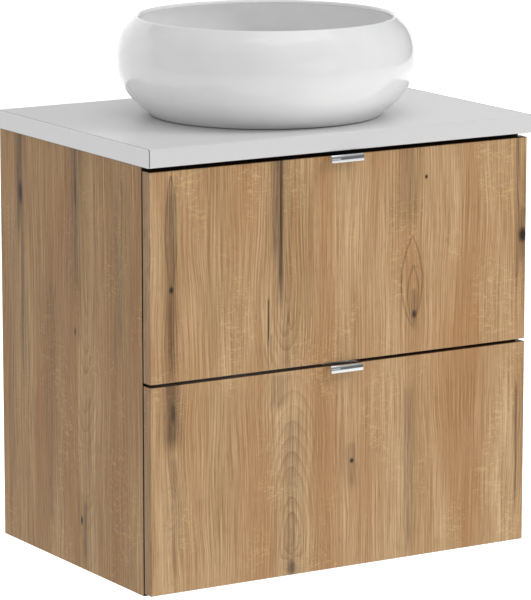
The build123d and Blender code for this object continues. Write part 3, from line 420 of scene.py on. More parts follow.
def moulded(name, hex_light, hex_dark, roughness, texture_mm, relief_mm, **more):
    """Moulded plastic or rubber with a fine spark-eroded texture from its mould and slight flow clouds."""
    material, tree, mm = new_finish(name)
    texture = add(tree, NOISE, Vector=mm, Scale=1 / texture_mm, Detail=2.0)
    flow = drawn_out(tree, mm, (18, 18, 40), Detail=2.0)
    colour = add(tree, BLEND, flow, linear(hex_light), linear(hex_dark))
    worn = add(tree, RANGE, texture, 0.3, 0.7, roughness * 0.88, roughness * 1.15)
    return close_finish(material, (texture, 0.3, relief_mm), Base_Color=colour, Roughness=worn, **more)


def linen_board():
    """Grey melamine with a printed and pressed linen weave, as drawer boxes have."""
    # Threads lie about 0.8 mm apart on the real film; they are drawn 1.6 mm apart so that they show.
    thread, run = 1.6, 26
    material, tree, mm = new_finish("linen melamine board")
    weave = 0.0
    for lengths in ((thread, run, run), (run, thread, run), (run, run, thread)):
        weave = add(tree, PLUS, weave, drawn_out(tree, mm, lengths, Detail=2.0))
    light = add(tree, RANGE, weave, 1.2, 1.8)
    colour = add(tree, BLEND, light, bpy.context.scene.vanity_colours.box, linear("#A9AAAA"))
    return close_finish(material, (weave, 0.3, 0.05), Base_Color=colour, Roughness=0.5)


def beech_wood():
    """Compressed beech dowel: pale pinkish wood with short dark ray flecks along its length."""
    material, tree, mm = new_finish("beech")
    fibre = drawn_out(tree, mm, (22, 0.8, 0.8), Detail=3.0)
    fleck = drawn_out(tree, mm, (3.2, 0.7, 0.7), Detail=1.0)
    fleck = add(tree, RANGE, fleck, 0.58, 0.68, 0.0, 0.5)
    colour = add(tree, BLEND, fibre, linear("#E2C49A"), linear("#C69D6E"))
    colour = add(tree, BLEND, fleck, colour, linear("#9A6B45"))
    return close_finish(material, (fibre, 0.4, 0.08), Base_Color=colour, Roughness=0.6)


made = {}


def finish(name):
    """The shared finish of that name, made the first time it is asked for."""
    makers = {
        # Bright nickel and chromium over polished steel: a mirror with faint polishing haze.
        "chrome": lambda: plated_metal("polished chrome plate", "#E6E8EA", "#DADDE0", 0.055, 1.5, 0.004),
        # Electro-galvanised and blue-passivated sheet: small crystals and a cool satin shine.
        "zinc": lambda: plated_metal("zinc-plated steel", "#C6CACD", "#94999E", 0.3, 2.4, 0.02),
        # Hardened and polished steel balls and hooks.
        "steel": lambda: plated_metal("ground steel", "#CFD1D3", "#A9ADB1", 0.2, 1.2, 0.01),
        "brass": turned_brass,
        # Polypropylene: waxy white, slightly translucent, fine moulded texture.
        "plastic": lambda: moulded("moulded polypropylene", "#F0F0EE", "#E2E3E1", 0.4, 0.7, 0.03,
                                   Subsurface_Weight=0.06, Subsurface_Scale=0.002),
        # EPDM: black, dull, faint bloom of dust.
        "rubber": lambda: moulded("black rubber", "#232324", "#343434", 0.72, 0.6, 0.05),
        # Neutral-cure silicone: milky and soft with a smoothed skin.
        "silicone": lambda: moulded("clear silicone", "#E6E8E8", "#D5D9DA", 0.3, 2.2, 0.05,
                                    Subsurface_Weight=0.2, Subsurface_Scale=0.002),
        "laminate": white_laminate,
        "ceramic": glazed_ceramic,
        "linen": linen_board,
        "beech": beech_wood,
    }
    if name not in made:
        made[name] = makers[name]()
    return made[name]


def paint(material, *node_names):
    """Gives carried-over frame nodes a finish through their material slots."""
    for name in node_names:
        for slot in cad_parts[name].material_slots:
            slot.material = material


# ---------------------------------------------------------------- shapes
def new_piece(name, mesh, material, body, replaced=()):
    """Object for a finished mesh, with its finish in its one material slot, and its body."""
    if not mesh.polygons:
        raise RuntimeError(f"{name} came out empty")
    mesh.name = name
    mesh.materials.clear()
    mesh.materials.append(material)
    piece = bpy.data.objects.new(name, mesh)
    bpy.context.scene.collection.objects.link(piece)
    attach(piece, body)
    if replaced:
        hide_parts(*replaced)
    return piece


def curve_points(start, end, start_way, end_way, steps):
    """Points of a smooth curve between two points that leaves and arrives in the given directions."""
    # The pull of each direction keeps pace with the run, measured along both axes.
    run = sum(abs(c) for c in end - start)
    leave = start_way * (run / sum(abs(c) for c in start_way))
    arrive = end_way * (run / sum(abs(c) for c in end_way))
    points = []
    for i in range(steps):
        t = i / steps
        points.append((2 * t**3 - 3 * t**2 + 1) * start + (t**3 - 2 * t**2 + t) * leave
                      + (3 * t**2 - 2 * t**3) * end + (t**3 - t**2) * arrive)
    return points


def arc_points(centre, radius, start_deg, end_deg, steps):
    """Points of an arc, both ends included."""
    turns = [math.radians(start_deg + (end_deg - start_deg) * i / steps) for i in range(steps + 1)]
    return [centre + radius * Vector((math.cos(a), math.sin(a))) for a in turns]


def turned(section, centre, steps):
    """Mesh of a closed section turned about a vertical axis; section points are (radius, height)."""
    mesh_data = bmesh.new()
    rows = []
    for step in range(steps):
        angle = math.tau * step / steps
        rows.append([mesh_data.verts.new((centre.x + p.x * math.cos(angle), centre.y + p.x * math.sin(angle),
                                          centre.z + p.y)) for p in section])
    for row, after in zip(rows, rows[1:] + rows[:1]):
        for i in range(len(section)):
            j = (i + 1) % len(section)
            mesh_data.faces.new((row[i], after[i], after[j], row[j]))
    bmesh.ops.remove_doubles(mesh_data, verts=mesh_data.verts[:], dist=0.001 * MM)
    bmesh.ops.recalc_face_normals(mesh_data, faces=mesh_data.faces[:])
    return to_mesh(mesh_data, 35)


def to_mesh(mesh_data, smooth_deg):
    """Plain mesh, smooth across edges that turn less than an angle and sharp across the others."""
    for face in mesh_data.faces:
        face.smooth = True
    for edge in mesh_data.edges:
        if len(edge.link_faces) == 2:
            edge.smooth = edge.calc_face_angle() < math.radians(smooth_deg)
    mesh = bpy.data.meshes.new("mesh")
    mesh_data.to_mesh(mesh)
    mesh_data.free()
    return mesh


def solids_of(node_name):
    """Boxes of a frame node's separate solids, as (low corner, high corner, points)."""
    source = bmesh.new()
    source.from_mesh(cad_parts[node_name].data)
    bmesh.ops.remove_doubles(source, verts=source.verts[:], dist=0.002 * MM)
    seen = set()
    found = []
    for first in source.verts:
        if first.index in seen:
            continue
        seen.add(first.index)
        queue = [first]
        points = []
        while queue:
            vertex = queue.pop()
            points.append(vertex.co.copy())
            for edge in vertex.link_edges:
                other = edge.other_vert(vertex)
                if other.index not in seen:
                    seen.add(other.index)
                    queue.append(other)
        low = Vector([min(p[i] for p in points) for i in range(3)])
        high = Vector([max(p[i] for p in points) for i in range(3)])
        found.append((low, high, points))
    source.free()
    return found


def run_nodes(tree, places, turns, sizes):
    """Mesh that a Geometry Nodes tree grows at some places; sizes are its inputs by name."""
    mesh = bpy.data.meshes.new("places")
    mesh.from_pydata(places, [], [])
    turn = mesh.attributes.new("turn", "FLOAT_VECTOR", "POINT")
    for i, value in enumerate(turns):
        turn.data[i].vector = value
    holder = bpy.data.objects.new("places", mesh)
    bpy.context.scene.collection.objects.link(holder)
    grown = holder.modifiers.new("grow", "NODES")
    grown.node_group = tree
    named = {item.name: item.identifier for item in tree.interface.items_tree if item.in_out == "INPUT"}
    for name, value in sizes.items():
        grown[named[name]] = value
    bpy.context.view_layer.update()
    result = bpy.data.meshes.new_from_object(holder.evaluated_get(bpy.context.evaluated_depsgraph_get()))
    bpy.data.objects.remove(holder)
    if not result.polygons:
        raise RuntimeError(f"{tree.name} grew nothing")
    return result


def new_tree(name, *sizes):
    """Geometry Nodes tree with its named inputs; returns the tree, its places, its material and its sizes."""
    tree = bpy.data.node_groups.new(name, "GeometryNodeTree")
    sockets = [("Geometry", "Geometry"), ("Material", "Material")] + [(size, "Float") for size in sizes]
    for label, kind in sockets:
        tree.interface.new_socket(label, in_out="INPUT", socket_type="NodeSocket" + kind)
    tree.interface.new_socket("Geometry", in_out="OUTPUT", socket_type="NodeSocketGeometry")
    given = tree.nodes.new("NodeGroupInput").outputs
    return tree, given[:2], given[2:2 + len(sizes)]


def close_tree(tree, given, shape):
    """Puts the shape on each place, realizes the instances and sets the material."""
    places, material = given
    turn = add(tree, "GeometryNodeInputNamedAttribute", Name="turn", data_type="FLOAT_VECTOR")
    placed = add(tree, COPIES, Points=places, Instance=shape, Rotation=turn)
    real = add(tree, "GeometryNodeRealizeInstances", placed)
    painted = add(tree, "GeometryNodeSetMaterial", Geometry=real, Material=material)
    add(tree, "NodeGroupOutput", painted)
    return tree


def raised(tree, shape, height):
    """A shape moved up."""
    return add(tree, MOVE, Geometry=shape, Translation=add(tree, JOIN, Z=height))


def screw_tree():
    """Screw along +Z from the top of its head, with a cross recess, a core, a thread and a point."""
    tree, given, sizes = new_tree("screws", "Shank Radius", "Head Radius", "Seat Radius", "Head Height",
                                  "Length", "Pitch")
    shank, head_radius, seat, height, length, pitch = sizes
    head = add(tree, MESH_CONE, Vertices=28, Radius_Top=seat, Radius_Bottom=head_radius, Depth=height)
    wing = add(tree, TIMES, head_radius, 1.15)
    slit = add(tree, TIMES, head_radius, 0.26)
    deep = add(tree, TIMES, height, 1.3)
    cross = [add(tree, MESH_BOX, Size=add(tree, JOIN, *size))
             for size in ((wing, slit, deep), (slit, wing, deep))]
    cross = add(tree, "GeometryNodeMeshBoolean", Mesh_2=cross, operation="UNION")
    head = add(tree, "GeometryNodeMeshBoolean", Mesh_1=head, Mesh_2=cross, operation="DIFFERENCE")

    core_radius = add(tree, TIMES, shank, 0.72)
    core_length = add(tree, TIMES, length, 0.88)
    core = add(tree, MESH_ROD, Vertices=16, Radius=core_radius, Depth=core_length)
    core = raised(tree, core, add(tree, TIMES_PLUS, core_length, 0.5, height))
    tip_length = add(tree, TIMES, length, 0.12)
    tip = add(tree, MESH_CONE, Vertices=16, Radius_Bottom=core_radius, Depth=tip_length)
    tip = raised(tree, tip, add(tree, PLUS, core_length, height))

    run = add(tree, TIMES, length, 0.84)
    turns = add(tree, OVER, run, pitch)
    crest = add(tree, TIMES, shank, 0.84)
    helix = add(tree, "GeometryNodeCurveSpiral", Resolution=10, Rotations=turns, Start_Radius=crest,
                End_Radius=crest, Height=run)
    ridge = add(tree, "GeometryNodeCurvePrimitiveCircle", Resolution=3, Radius=add(tree, TIMES, shank, 0.15))
    thread = add(tree, MESH_ALONG, Curve=helix, Profile_Curve=ridge, Fill_Caps=True)
    thread = raised(tree, thread, add(tree, TIMES_PLUS, length, 0.06, height))
    return close_tree(tree, given, add(tree, GATHER, [head, core, tip, thread]))


def swept(tree, line, profile, scale):
    """Profile run along a line at a scale that changes on the way, with closed ends."""
    line = add(tree, "GeometryNodeSetCurveRadius", Curve=line, Radius=scale)
    return add(tree, MESH_ALONG, Curve=line, Profile_Curve=profile, Scale=scale, Fill_Caps=True)


def dowel_tree():
    """Grooved dowel centred on its place, with its ends drawn in."""
    tree, given, (radius, length) = new_tree("grooved dowels", "Radius", "Length")
    start, end = (add(tree, JOIN, Z=add(tree, TIMES, length, share)) for share in (-0.5, 0.5))
    line = add(tree, "GeometryNodeCurvePrimitiveLine", Start=start, End=end)
    line = add(tree, "GeometryNodeResampleCurve", Curve=line, Count=25)
    along = add(tree, "GeometryNodeSplineParameter").outputs["Factor"]
    from_middle = add(tree, ABSOLUTE, add(tree, MINUS, along, 0.5))
    drawn_in = add(tree, RANGE, from_middle, 0.45, 0.5, 1.0, 0.8)
    groove = add(tree, TIMES, radius, 0.92)
    star = add(tree, "GeometryNodeCurveStar", Points=18, Inner_Radius=groove, Outer_Radius=radius)
    return close_tree(tree, given, swept(tree, line, star.outputs["Curve"], drawn_in))


def ball_strip_tree():
    """Row of balls in the collars of a pressed strip; the strip runs along its local Y."""
    tree, given, sizes = new_tree("ball strips", "Ball Radius", "Pitch", "Strip Width", "Strip Length",
                                  "Strip Thickness")
    ball_radius, pitch, width, length, thickness = sizes
    start = add(tree, JOIN, Y=add(tree, TIMES, pitch, -2.5))
    row = add(tree, "GeometryNodeMeshLine", Count=6, Start_Location=start, Offset=add(tree, JOIN, Y=pitch),
              mode="OFFSET")
    ball = add(tree, "GeometryNodeMeshUVSphere", Segments=20, Rings=12, Radius=ball_radius)
    ball = add(tree, "GeometryNodeSetShadeSmooth", Geometry=ball)
    collar_radius = add(tree, TIMES, ball_radius, 1.12)
    collar_height = add(tree, TIMES, thickness, 2.6)
    collar = add(tree, MESH_ROD, Vertices=20, Radius=collar_radius, Depth=collar_height)
    rows = [add(tree, COPIES, Points=row, Instance=shape) for shape in (ball, collar)]
    strip = add(tree, MESH_BOX, Size=add(tree, JOIN, width, length, thickness))
    return close_tree(tree, given, add(tree, GATHER, [*rows, strip]))


def bumper_tree():
    """Self-adhesive dome: a flat round base with a low cap, rising along +Z from its place."""
    tree, given, (radius, height) = new_tree("bumpers", "Radius", "Height")
    line = add(tree, "GeometryNodeCurvePrimitiveLine", End=add(tree, JOIN, Z=height))
    line = add(tree, "GeometryNodeResampleCurve", Curve=line, Count=14)
    along = add(tree, "GeometryNodeSplineParameter").outputs["Factor"]
    drawn_in = add(tree, TIMES_PLUS, add(tree, POWER, along, 2.6), -0.62, 1.0)
    ring = add(tree, "GeometryNodeCurvePrimitiveCircle", Resolution=24, Radius=radius)
    return close_tree(tree, given, swept(tree, line, ring, drawn_in))


def merged(meshes):
    """One mesh from several, with shading that is smooth on curves and sharp at edges."""
    whole = bmesh.new()
    for mesh in meshes:
        whole.from_mesh(mesh)
    bmesh.ops.remove_doubles(whole, verts=whole.verts[:], dist=0.001 * MM)
    return to_mesh(whole, 32)


def screws_like(node_name):
    """Detailed screws in the places, directions and sizes of a frame node's screws."""
    kinds = {}
    for low, high, points in solids_of(node_name):
        size = high - low
        axis = max(range(3), key=lambda i: size[i])
        others = [i for i in range(3) if i != axis]
        middle = (low + high) / 2

        def reach(point):
            return max(abs(point[i] - middle[i]) for i in others)
        head_radius = max(reach(p) for p in points)
        wide = [p[axis] for p in points if reach(p) > 0.9 * head_radius]
        at_low = min(wide) - low[axis] < high[axis] - max(wide)
        head_height = max(wide) - min(wide)
        far_end = high[axis] if at_low else low[axis]
        shank = max(reach(p) for p in points if abs(p[axis] - far_end) < 0.01 * MM)
        way = Vector((0, 0, 0))
        way[axis] = 1 if at_low else -1
        top = middle.copy()
        top[axis] = low[axis] if at_low else high[axis]
        key = tuple(round(value / MM, 2) for value in (shank, head_radius, head_height, size[axis]))
        kinds.setdefault(key, []).append((top, Vector(way.to_track_quat("Z", "Y").to_euler())))
    tree = bpy.data.node_groups.get("screws") or screw_tree()
    meshes = []
    for (shank, head_radius, head_height, full), found in sorted(kinds.items()):
        # Sheet-metal and handle screws have flat heads, which are low; screws for board are countersunk.
        flat = head_height < HIGHEST_FLAT_HEAD
        sizes = {"Shank Radius": shank, "Head Radius": head_radius, "Head Height": head_height,
                 "Seat Radius": head_radius if flat else shank * 1.05, "Length": full - head_height,
                 "Pitch": shank * 0.8}
        sizes = {name: value * MM for name, value in sizes.items()}
        sizes["Material"] = finish("zinc")
        meshes.append(run_nodes(tree, [top for top, _ in found], [turn for _, turn in found], sizes))
    return merged(meshes)


def grow(tree, node_name, sizes_of, turn, look, piece_name, body):
    """Piece grown at every solid of a frame node; sizes_of gives a place and the tree's sizes for a solid."""
    solids = solids_of(node_name)
    places = [sizes_of(low, high)[0] for low, high, _ in solids]
    sizes = sizes_of(*solids[0][:2])[1] | {"Material": finish(look)}
    mesh = run_nodes(tree, places, [turn] * len(places), sizes)
    new_piece(piece_name, merged([mesh]), finish(look), body, [node_name])


# ---------------------------------------------------------------- operators
# Each cut of oak: the boards that have it and what oak_decor is told about it.
# On the fronts, bands marks edges that get painted shade; the other boards are darkened whole by shade and
# get a front edge painted near black, as painted shade and shadow.
OAK_CUTS = {
    "upper front": (["upper_drawer_front"], dict(
        across="X", heart=(-88, -150, -0.32), bands=(FRONT_HALF_WIDTH, -241, 39),
        knots=((-264, -130, 13, 120, 40, 0), (-264, -118, 8, 11, 10, 0.95), (108, -150, 24, 60, 46, 0),
               (114, -188, 9, 13, 8, 0.85), (132, -2, 6, 7, 8, 1.0), (291, -96, 17, 24, 46, 1.0),
               (-86, -170, 5, 22, 8, 0.3)),
        streaks=((-264, 9, -300, 40, 0.6), (-97, 3.8, -190, 90, 1.0), (-102, 11, -130, 100, 0.62),
                 (-90, 20, -200, 90, 0.22), (-116, 1.8, -215, -140, 0.85), (-112, 2.2, -241, -190, 0.5),
                 (106, 20, -90, 90, 0.3), (113, 5, -215, -150, 0.45), (282, 4, -200, 60, 0.5),
                 (292, 9, -150, -50, 0.5), (-60, 14, -241, 39, 0.16), (296, 9, -241, 39, 0.25),
                 (-190, 26, -241, 60, 0.12), (-87, 10, -300, -60, 0.26)),
        flames=((-264, 8.5, -122, 34, 0.6), (-262, 14, -330, -118, 0.35), (110, 17, -205, -80, 0.45),
                (112, 9, -200, -120, 0.4)))),
    "lower front": (["lower_drawer_front"], dict(
        across="X", heart=(-79, -500, 0.26), bands=(FRONT_HALF_WIDTH, -525, -245),
        knots=((-262, -282, 9, 32, 20, 0.6), (-259, -410, 16, 44, 30, 0), (-81, -515, 14, 26, 24, 0.6),
               (15, -379, 8.5, 8, 10, 0.95), (-32, -483, 14, 18, 16, 0), (190, -330, 20, 60, 18, 0)),
        streaks=((-264, 13, -345, -230, 0.72), (-259, 7, -525, -330, 0.35), (108, 10, -560, -270, 0.32),
                 (283, 2, -508, -290, 0.7), (15, 7, -425, -350, 0.35), (-79, 14, -600, -290, 0.34),
                 (-79, 7, -600, -440, 0.3), (-100, 16, -300, -245, 0.3), (-190, 26, -525, -240, 0.12),
                 (296, 8, -525, -240, 0.2)),
        flames=((-262, 8, -400, -250, 0.4),))),
    "left side": (["left_side_panel"], dict(
        across="Y", heart=(-238, -150, -0.2), ring_strength=0.5, shade=0.32, gap_shadow_edge=PANEL_FRONT,
        knots=((-58, -36, 12, 38, 16, 1.0), (-66, -205, 15, 38, 26, 0), (-211, -204, 4.5, 14, 9, 0.9),
               (-236, -392, 15, 24, 30, 0), (-225, -462, 6, 15, 24, 1.0), (-64, -394, 8, 14, 20, 0)),
        streaks=((-56, 12, -120, 60, 0.6), (-61, 6, -330, 30, 0.5), (-214, 4.5, -60, 70, 0.75),
                 (-217, 18, -190, 90, 0.4), (-236, 8, -529, -430, 0.35), (-330, 14, -300, 60, 0.25),
                 (-140, 16, -529, -120, 0.25), (-30, 10, -529, -40, 0.2)))),
    "right side": (["right_side_panel"], dict(
        across="Y", heart=(-150, -200, 0.2), ring_strength=0.5, shade=0.32, gap_shadow_edge=PANEL_FRONT,
        knots=((-300, -110, 14, 30, 30, 0), (-296, -120, 4, 7, 8, 0.8), (-90, -330, 12, 34, 26, 0),
               (-220, -430, 4, 10, 16, 0.8)),
        streaks=((-300, 5, -260, 20, 0.5), (-150, 6, -529, -380, 0.4), (-60, 4, -200, 45, 0.5)))),
    "base": (["bottom_panel"], dict(
        across="Y", along="X", heart=(-230, 0, 0.1), streaks=((-120, 9, -400, 200, 0.2),),
        ring_strength=0.5, shade=0.2, gap_shadow_edge=PANEL_FRONT)),
    "rails": (["front_top_rail", "rear_top_rail", "rear_lower_rail"], dict(
        across="Z", along="X", heart=(-60, 50, 0.08), streaks=((10, 6, -300, 120, 0.2),),
        ring_strength=0.5, shade=0.2, gap_shadow_edge=PANEL_FRONT)),
}


class VANITY_OT_oak_boards(Operator):
    """Gives every oak-decor board its own cut of the wood figure"""
    bl_idname = "vanity.oak_boards"
    bl_label = "Oak boards"

    def execute(self, context):
        for name, (boards, cut) in OAK_CUTS.items():
            paint(oak_decor("oak decor, " + name, **cut), *boards)
        return {"FINISHED"}


class VANITY_OT_worktop(Operator):
    """Finishes the worktop, its end bands and its brackets"""
    bl_idname = "vanity.worktop"
    bl_label = "Worktop"

    def execute(self, context):
        paint(finish("laminate"), "worktop", "worktop_left_edge_band", "worktop_right_edge_band")
        paint(finish("zinc"), "worktop_brackets")
        return {"FINISHED"}


class VANITY_OT_basin(Operator):
    """Turns the basin and finishes the bead it stands on"""
    bl_idname = "vanity.basin"
    bl_label = "Basin"

    def execute(self, context):
        sizes = context.scene.vanity_basin
        low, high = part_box("basin")
        height = high.z - low.z
        half_rim = sizes.rim_width / 2
        rim_top = height - half_rim
        foot = Vector((sizes.foot_radius, 0))
        belly = Vector((sizes.belly_radius, sizes.belly_height))
        inner_belly = belly - Vector((sizes.wall, 0))
        outer_rim = Vector((sizes.rim_radius, rim_top))
        inner_rim = outer_rim - Vector((sizes.rim_width, 0))
        floor_edge, seat_edge = Vector((0.120, 0.022)), Vector((0.0345, 0.0171))
        seat_radius, seat_height, seat_round, bore, hollow = 0.033, 0.014, 0.0015, 0.0225, 0.10
        up = Vector((0, 1))
        section = curve_points(foot, belly, Vector((1, 0.8)), up, 28)
        section += curve_points(belly, outer_rim, up, Vector((-1, 0.75)), 22)
        # The glaze fills the corner outside the rim, so the bead starts part of the way round.
        section += arc_points(outer_rim - Vector((half_rim, 0)), half_rim, 50, 200, 14)
        section += curve_points(inner_rim, inner_belly, Vector((1, -0.75)), -up, 22)[1:]
        section += curve_points(inner_belly, floor_edge, -up, Vector((-1, -0.0575)), 34)
        section += [floor_edge.lerp(seat_edge, i / 10) for i in range(10)]
        section += arc_points(seat_edge - Vector((0, seat_round)), seat_round, 90, 180, 4)
        section += [Vector(corner) for corner in ((seat_radius, seat_height), (bore, seat_height), (bore, 0),
                                                  (hollow, 0))]
        # The foot's outer edge is wiped clean of glaze and slightly rounded.
        section += [foot - Vector((0.0012, 0))]
        axis = Vector((round((low.x + high.x) / 2, 4), round((low.y + high.y) / 2, 4), low.z))
        new_piece("vessel_basin", turned(section, axis, sizes.steps_around), finish("ceramic"), "cabinet",
                  ["basin"])
        paint(finish("silicone"), "basin_seal")
        return {"FINISHED"}


class VANITY_OT_pulls(Operator):
    """Bends the two chrome edge pulls from strip"""
    bl_idname = "vanity.pulls"
    bl_label = "Edge pulls"

    def execute(self, context):
        for drawer in ("upper", "lower"):
            low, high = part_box(drawer + "_handle")
            metal, lip, bend, back, soft, rounding = (size * MM for size in (1.5, 10, 4, 1.3, 0.45, 0.25))
            front, rear, top = low.y, high.y, high.z
            half_metal = metal / 2
            # The lip's lower edge is rounded about this point.
            edge = Vector((front + half_metal, top - lip + half_metal))
            outline = [edge - Vector((half_metal, 0))]
            # The strip is bent over a soft former, so the bend runs further down than back.
            further = 1.7
            outline += [Vector((p.x, top - (top - p.y) * further))
                        for p in arc_points(Vector((front + bend, top - bend)), bend, 180, 90, 18)]
            outline += arc_points(Vector((rear - back, top - back)), back, 90, 0, 6)
            outline += [Vector((rear, low.z + soft)), Vector((rear - soft, low.z)),
                        Vector((rear - metal + soft, low.z)), Vector((rear - metal, low.z + soft)),
                        Vector((rear - metal, top - metal))]
            inner = bend - metal
            under = top - metal
            outline += [Vector((p.x, under - (under - p.y) * (further * bend - metal) / inner))
                        for p in arc_points(Vector((front + bend, top - bend)), inner, 90, 180, 12)]
            outline += arc_points(edge, half_metal, 0, -180, 10)[:-1]
            pull = bmesh.new()
            end = pull.faces.new([pull.verts.new((low.x, p[0], p[1])) for p in outline])
            moved = bmesh.ops.extrude_face_region(pull, geom=[end])
            bmesh.ops.translate(pull, verts=[v for v in moved["geom"] if isinstance(v, bmesh.types.BMVert)],
                                vec=(high.x - low.x, 0, 0))
            bmesh.ops.recalc_face_normals(pull, faces=pull.faces[:])
            rims = [e for e in pull.edges if len({round(v.co.x, 5) for v in e.verts}) == 1]
            bmesh.ops.bevel(pull, geom=rims, offset=rounding, segments=3, affect="EDGES", profile=0.5)
            new_piece(drawer + "_edge_pull", to_mesh(pull, 30), finish("chrome"), drawer + "_drawer",
                      [drawer + "_handle"])
        return {"FINISHED"}


class VANITY_OT_waste(Operator):
    """Turns the waste's flange and its domed press plug, and finishes the parts below"""
    bl_idname = "vanity.waste"
    bl_label = "Waste"

    def execute(self, context):
        low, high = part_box("waste_flange")
        axis = Vector(((low.x + high.x) / 2, (low.y + high.y) / 2, 0))
        outer = (high.x - low.x) / 2
        bore = 17.5 * MM
        edge = 1.4 * MM
        section = [Vector((bore, low.z)), Vector((bore, high.z - 3 * edge / 2))]
        section += arc_points(Vector((bore + edge, high.z - edge)), edge, 180, 90, 6)
        section += arc_points(Vector((outer - edge, high.z - edge)), edge, 90, 0, 6)
        section += [Vector((outer, low.z))]
        new_piece("waste_flange_ring", turned(section, axis, 96), finish("chrome"), "cabinet",
                  ["waste_flange"])

        low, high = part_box("waste_plug")
        radius = (high.x - low.x) / 2
        stem = 5 * MM
        under = high.z - 4 * MM
        lip = 1.3 * MM
        section = [Vector((0, low.z)), Vector((stem - 0.8 * MM, low.z)), Vector((stem, low.z + 0.8 * MM)),
                   Vector((stem, under)), Vector((radius - lip, under))]
        section += arc_points(Vector((radius - lip, under + lip)), lip, -90, 45, 8)[1:]
        last = section[-1]
        steps, flatness = 16, 2.6
        for share in (1 - i / steps for i in range(1, steps + 1)):
            section.append(Vector((last.x * share, high.z - (high.z - last.y) * share ** flatness)))
        new_piece("press_plug", turned(section, axis, 96), finish("chrome"), "waste_plug",
                  ["waste_plug"])
        paint(finish("rubber"), "plug_seal", "waste_gasket")
        paint(finish("brass"), "waste_body", "waste_backnut")
        return {"FINISHED"}


class VANITY_OT_trap(Operator):
    """Finishes the bottle trap and the outlet pipe"""
    bl_idname = "vanity.trap"
    bl_label = "Trap"

    def execute(self, context):
        paint(finish("plastic"), "trap_nuts", "trap_inlet_tube", "trap_body", "trap_cup", "trap_outlet_pipe")
        return {"FINISHED"}


class VANITY_OT_screws(Operator):
    """Puts a threaded screw in the place of every plain one"""
    bl_idname = "vanity.screws"
    bl_label = "Screws"

    def execute(self, context):
        for node in ("worktop_screws", "hanger_screws", "runner_cabinet_screws", "upper_drawer_screws",
                     "lower_drawer_screws"):
            body = node.replace("_screws", "") if "drawer" in node else "cabinet"
            new_piece("threaded_" + node, screws_like(node), finish("zinc"), body, [node])
        return {"FINISHED"}


class VANITY_OT_dowels(Operator):
    """Makes the grooved dowels, the cam fittings' finish and the soft bumpers"""
    bl_idname = "vanity.dowels"
    bl_label = "Dowels and bumpers"

    def execute(self, context):
        def dowel(low, high):
            return (low + high) / 2, {"Radius": (high.z - low.z) / 2, "Length": high.x - low.x}

        def bumper(low, high):
            place = ((low.x + high.x) / 2, high.y, (low.z + high.z) / 2)
            return place, {"Radius": (high.z - low.z) / 2, "Height": high.y - low.y}

        along_x, to_front = (0, math.pi / 2, 0), (math.pi / 2, 0, 0)
        grow(dowel_tree(), "carcass_dowels", dowel, along_x, "beech", "grooved_dowels", "cabinet")
        paint(finish("zinc"), "cam_fittings")
        grow(bumper_tree(), "front_bumpers", bumper, to_front, "silicone", "domed_bumpers", "cabinet")
        return {"FINISHED"}


class VANITY_OT_runners(Operator):
    """Makes the ball strips of the runners and finishes their channels"""
    bl_idname = "vanity.runners"
    bl_label = "Drawer runners"

    def execute(self, context):
        balls = 6

        def strip(low, high):
            length = high.y - low.y
            return (low + high) / 2, {"Ball Radius": (high.z - low.z) / 2, "Pitch": length / balls,
                                      "Strip Width": high.x - low.x, "Strip Length": length,
                                      "Strip Thickness": 0.6 * MM}

        tree = ball_strip_tree()
        for drawer in ("upper", "lower"):
            paint(finish("zinc"), drawer + "_runner_drawer_members", drawer + "_runner_middle_members")
            for row in (f"{drawer}_outer_ball", f"{drawer}_inner_ball"):
                grow(tree, row + "_cages", strip, (0, 0, 0), "steel", row + "_strips", row + "s")
        paint(finish("zinc"), "runner_cabinet_members")
        return {"FINISHED"}


class VANITY_OT_hanging(Operator):
    """Finishes the wall plates, hooks and housings"""
    bl_idname = "vanity.hanging"
    bl_label = "Wall hanging"

    def execute(self, context):
        paint(finish("zinc"), "wall_plates")
        paint(finish("steel"), "hanger_hooks")
        paint(finish("plastic"), "hanger_housings")
        return {"FINISHED"}


class VANITY_OT_drawer_boxes(Operator):
    """Finishes the boards of both drawer boxes"""
    bl_idname = "vanity.drawer_boxes"
    bl_label = "Drawer boxes"

    def execute(self, context):
        boards = [f"{drawer}_drawer_{board}" for drawer in ("upper", "lower")
                  for board in ("subfront", "left_side", "right_side", "bottom")]
        boards += ["upper_drawer_left_back", "upper_drawer_right_back", "lower_drawer_back",
                   "upper_drawer_trap_surround"]
        paint(finish("linen"), *boards)
        return {"FINISHED"}


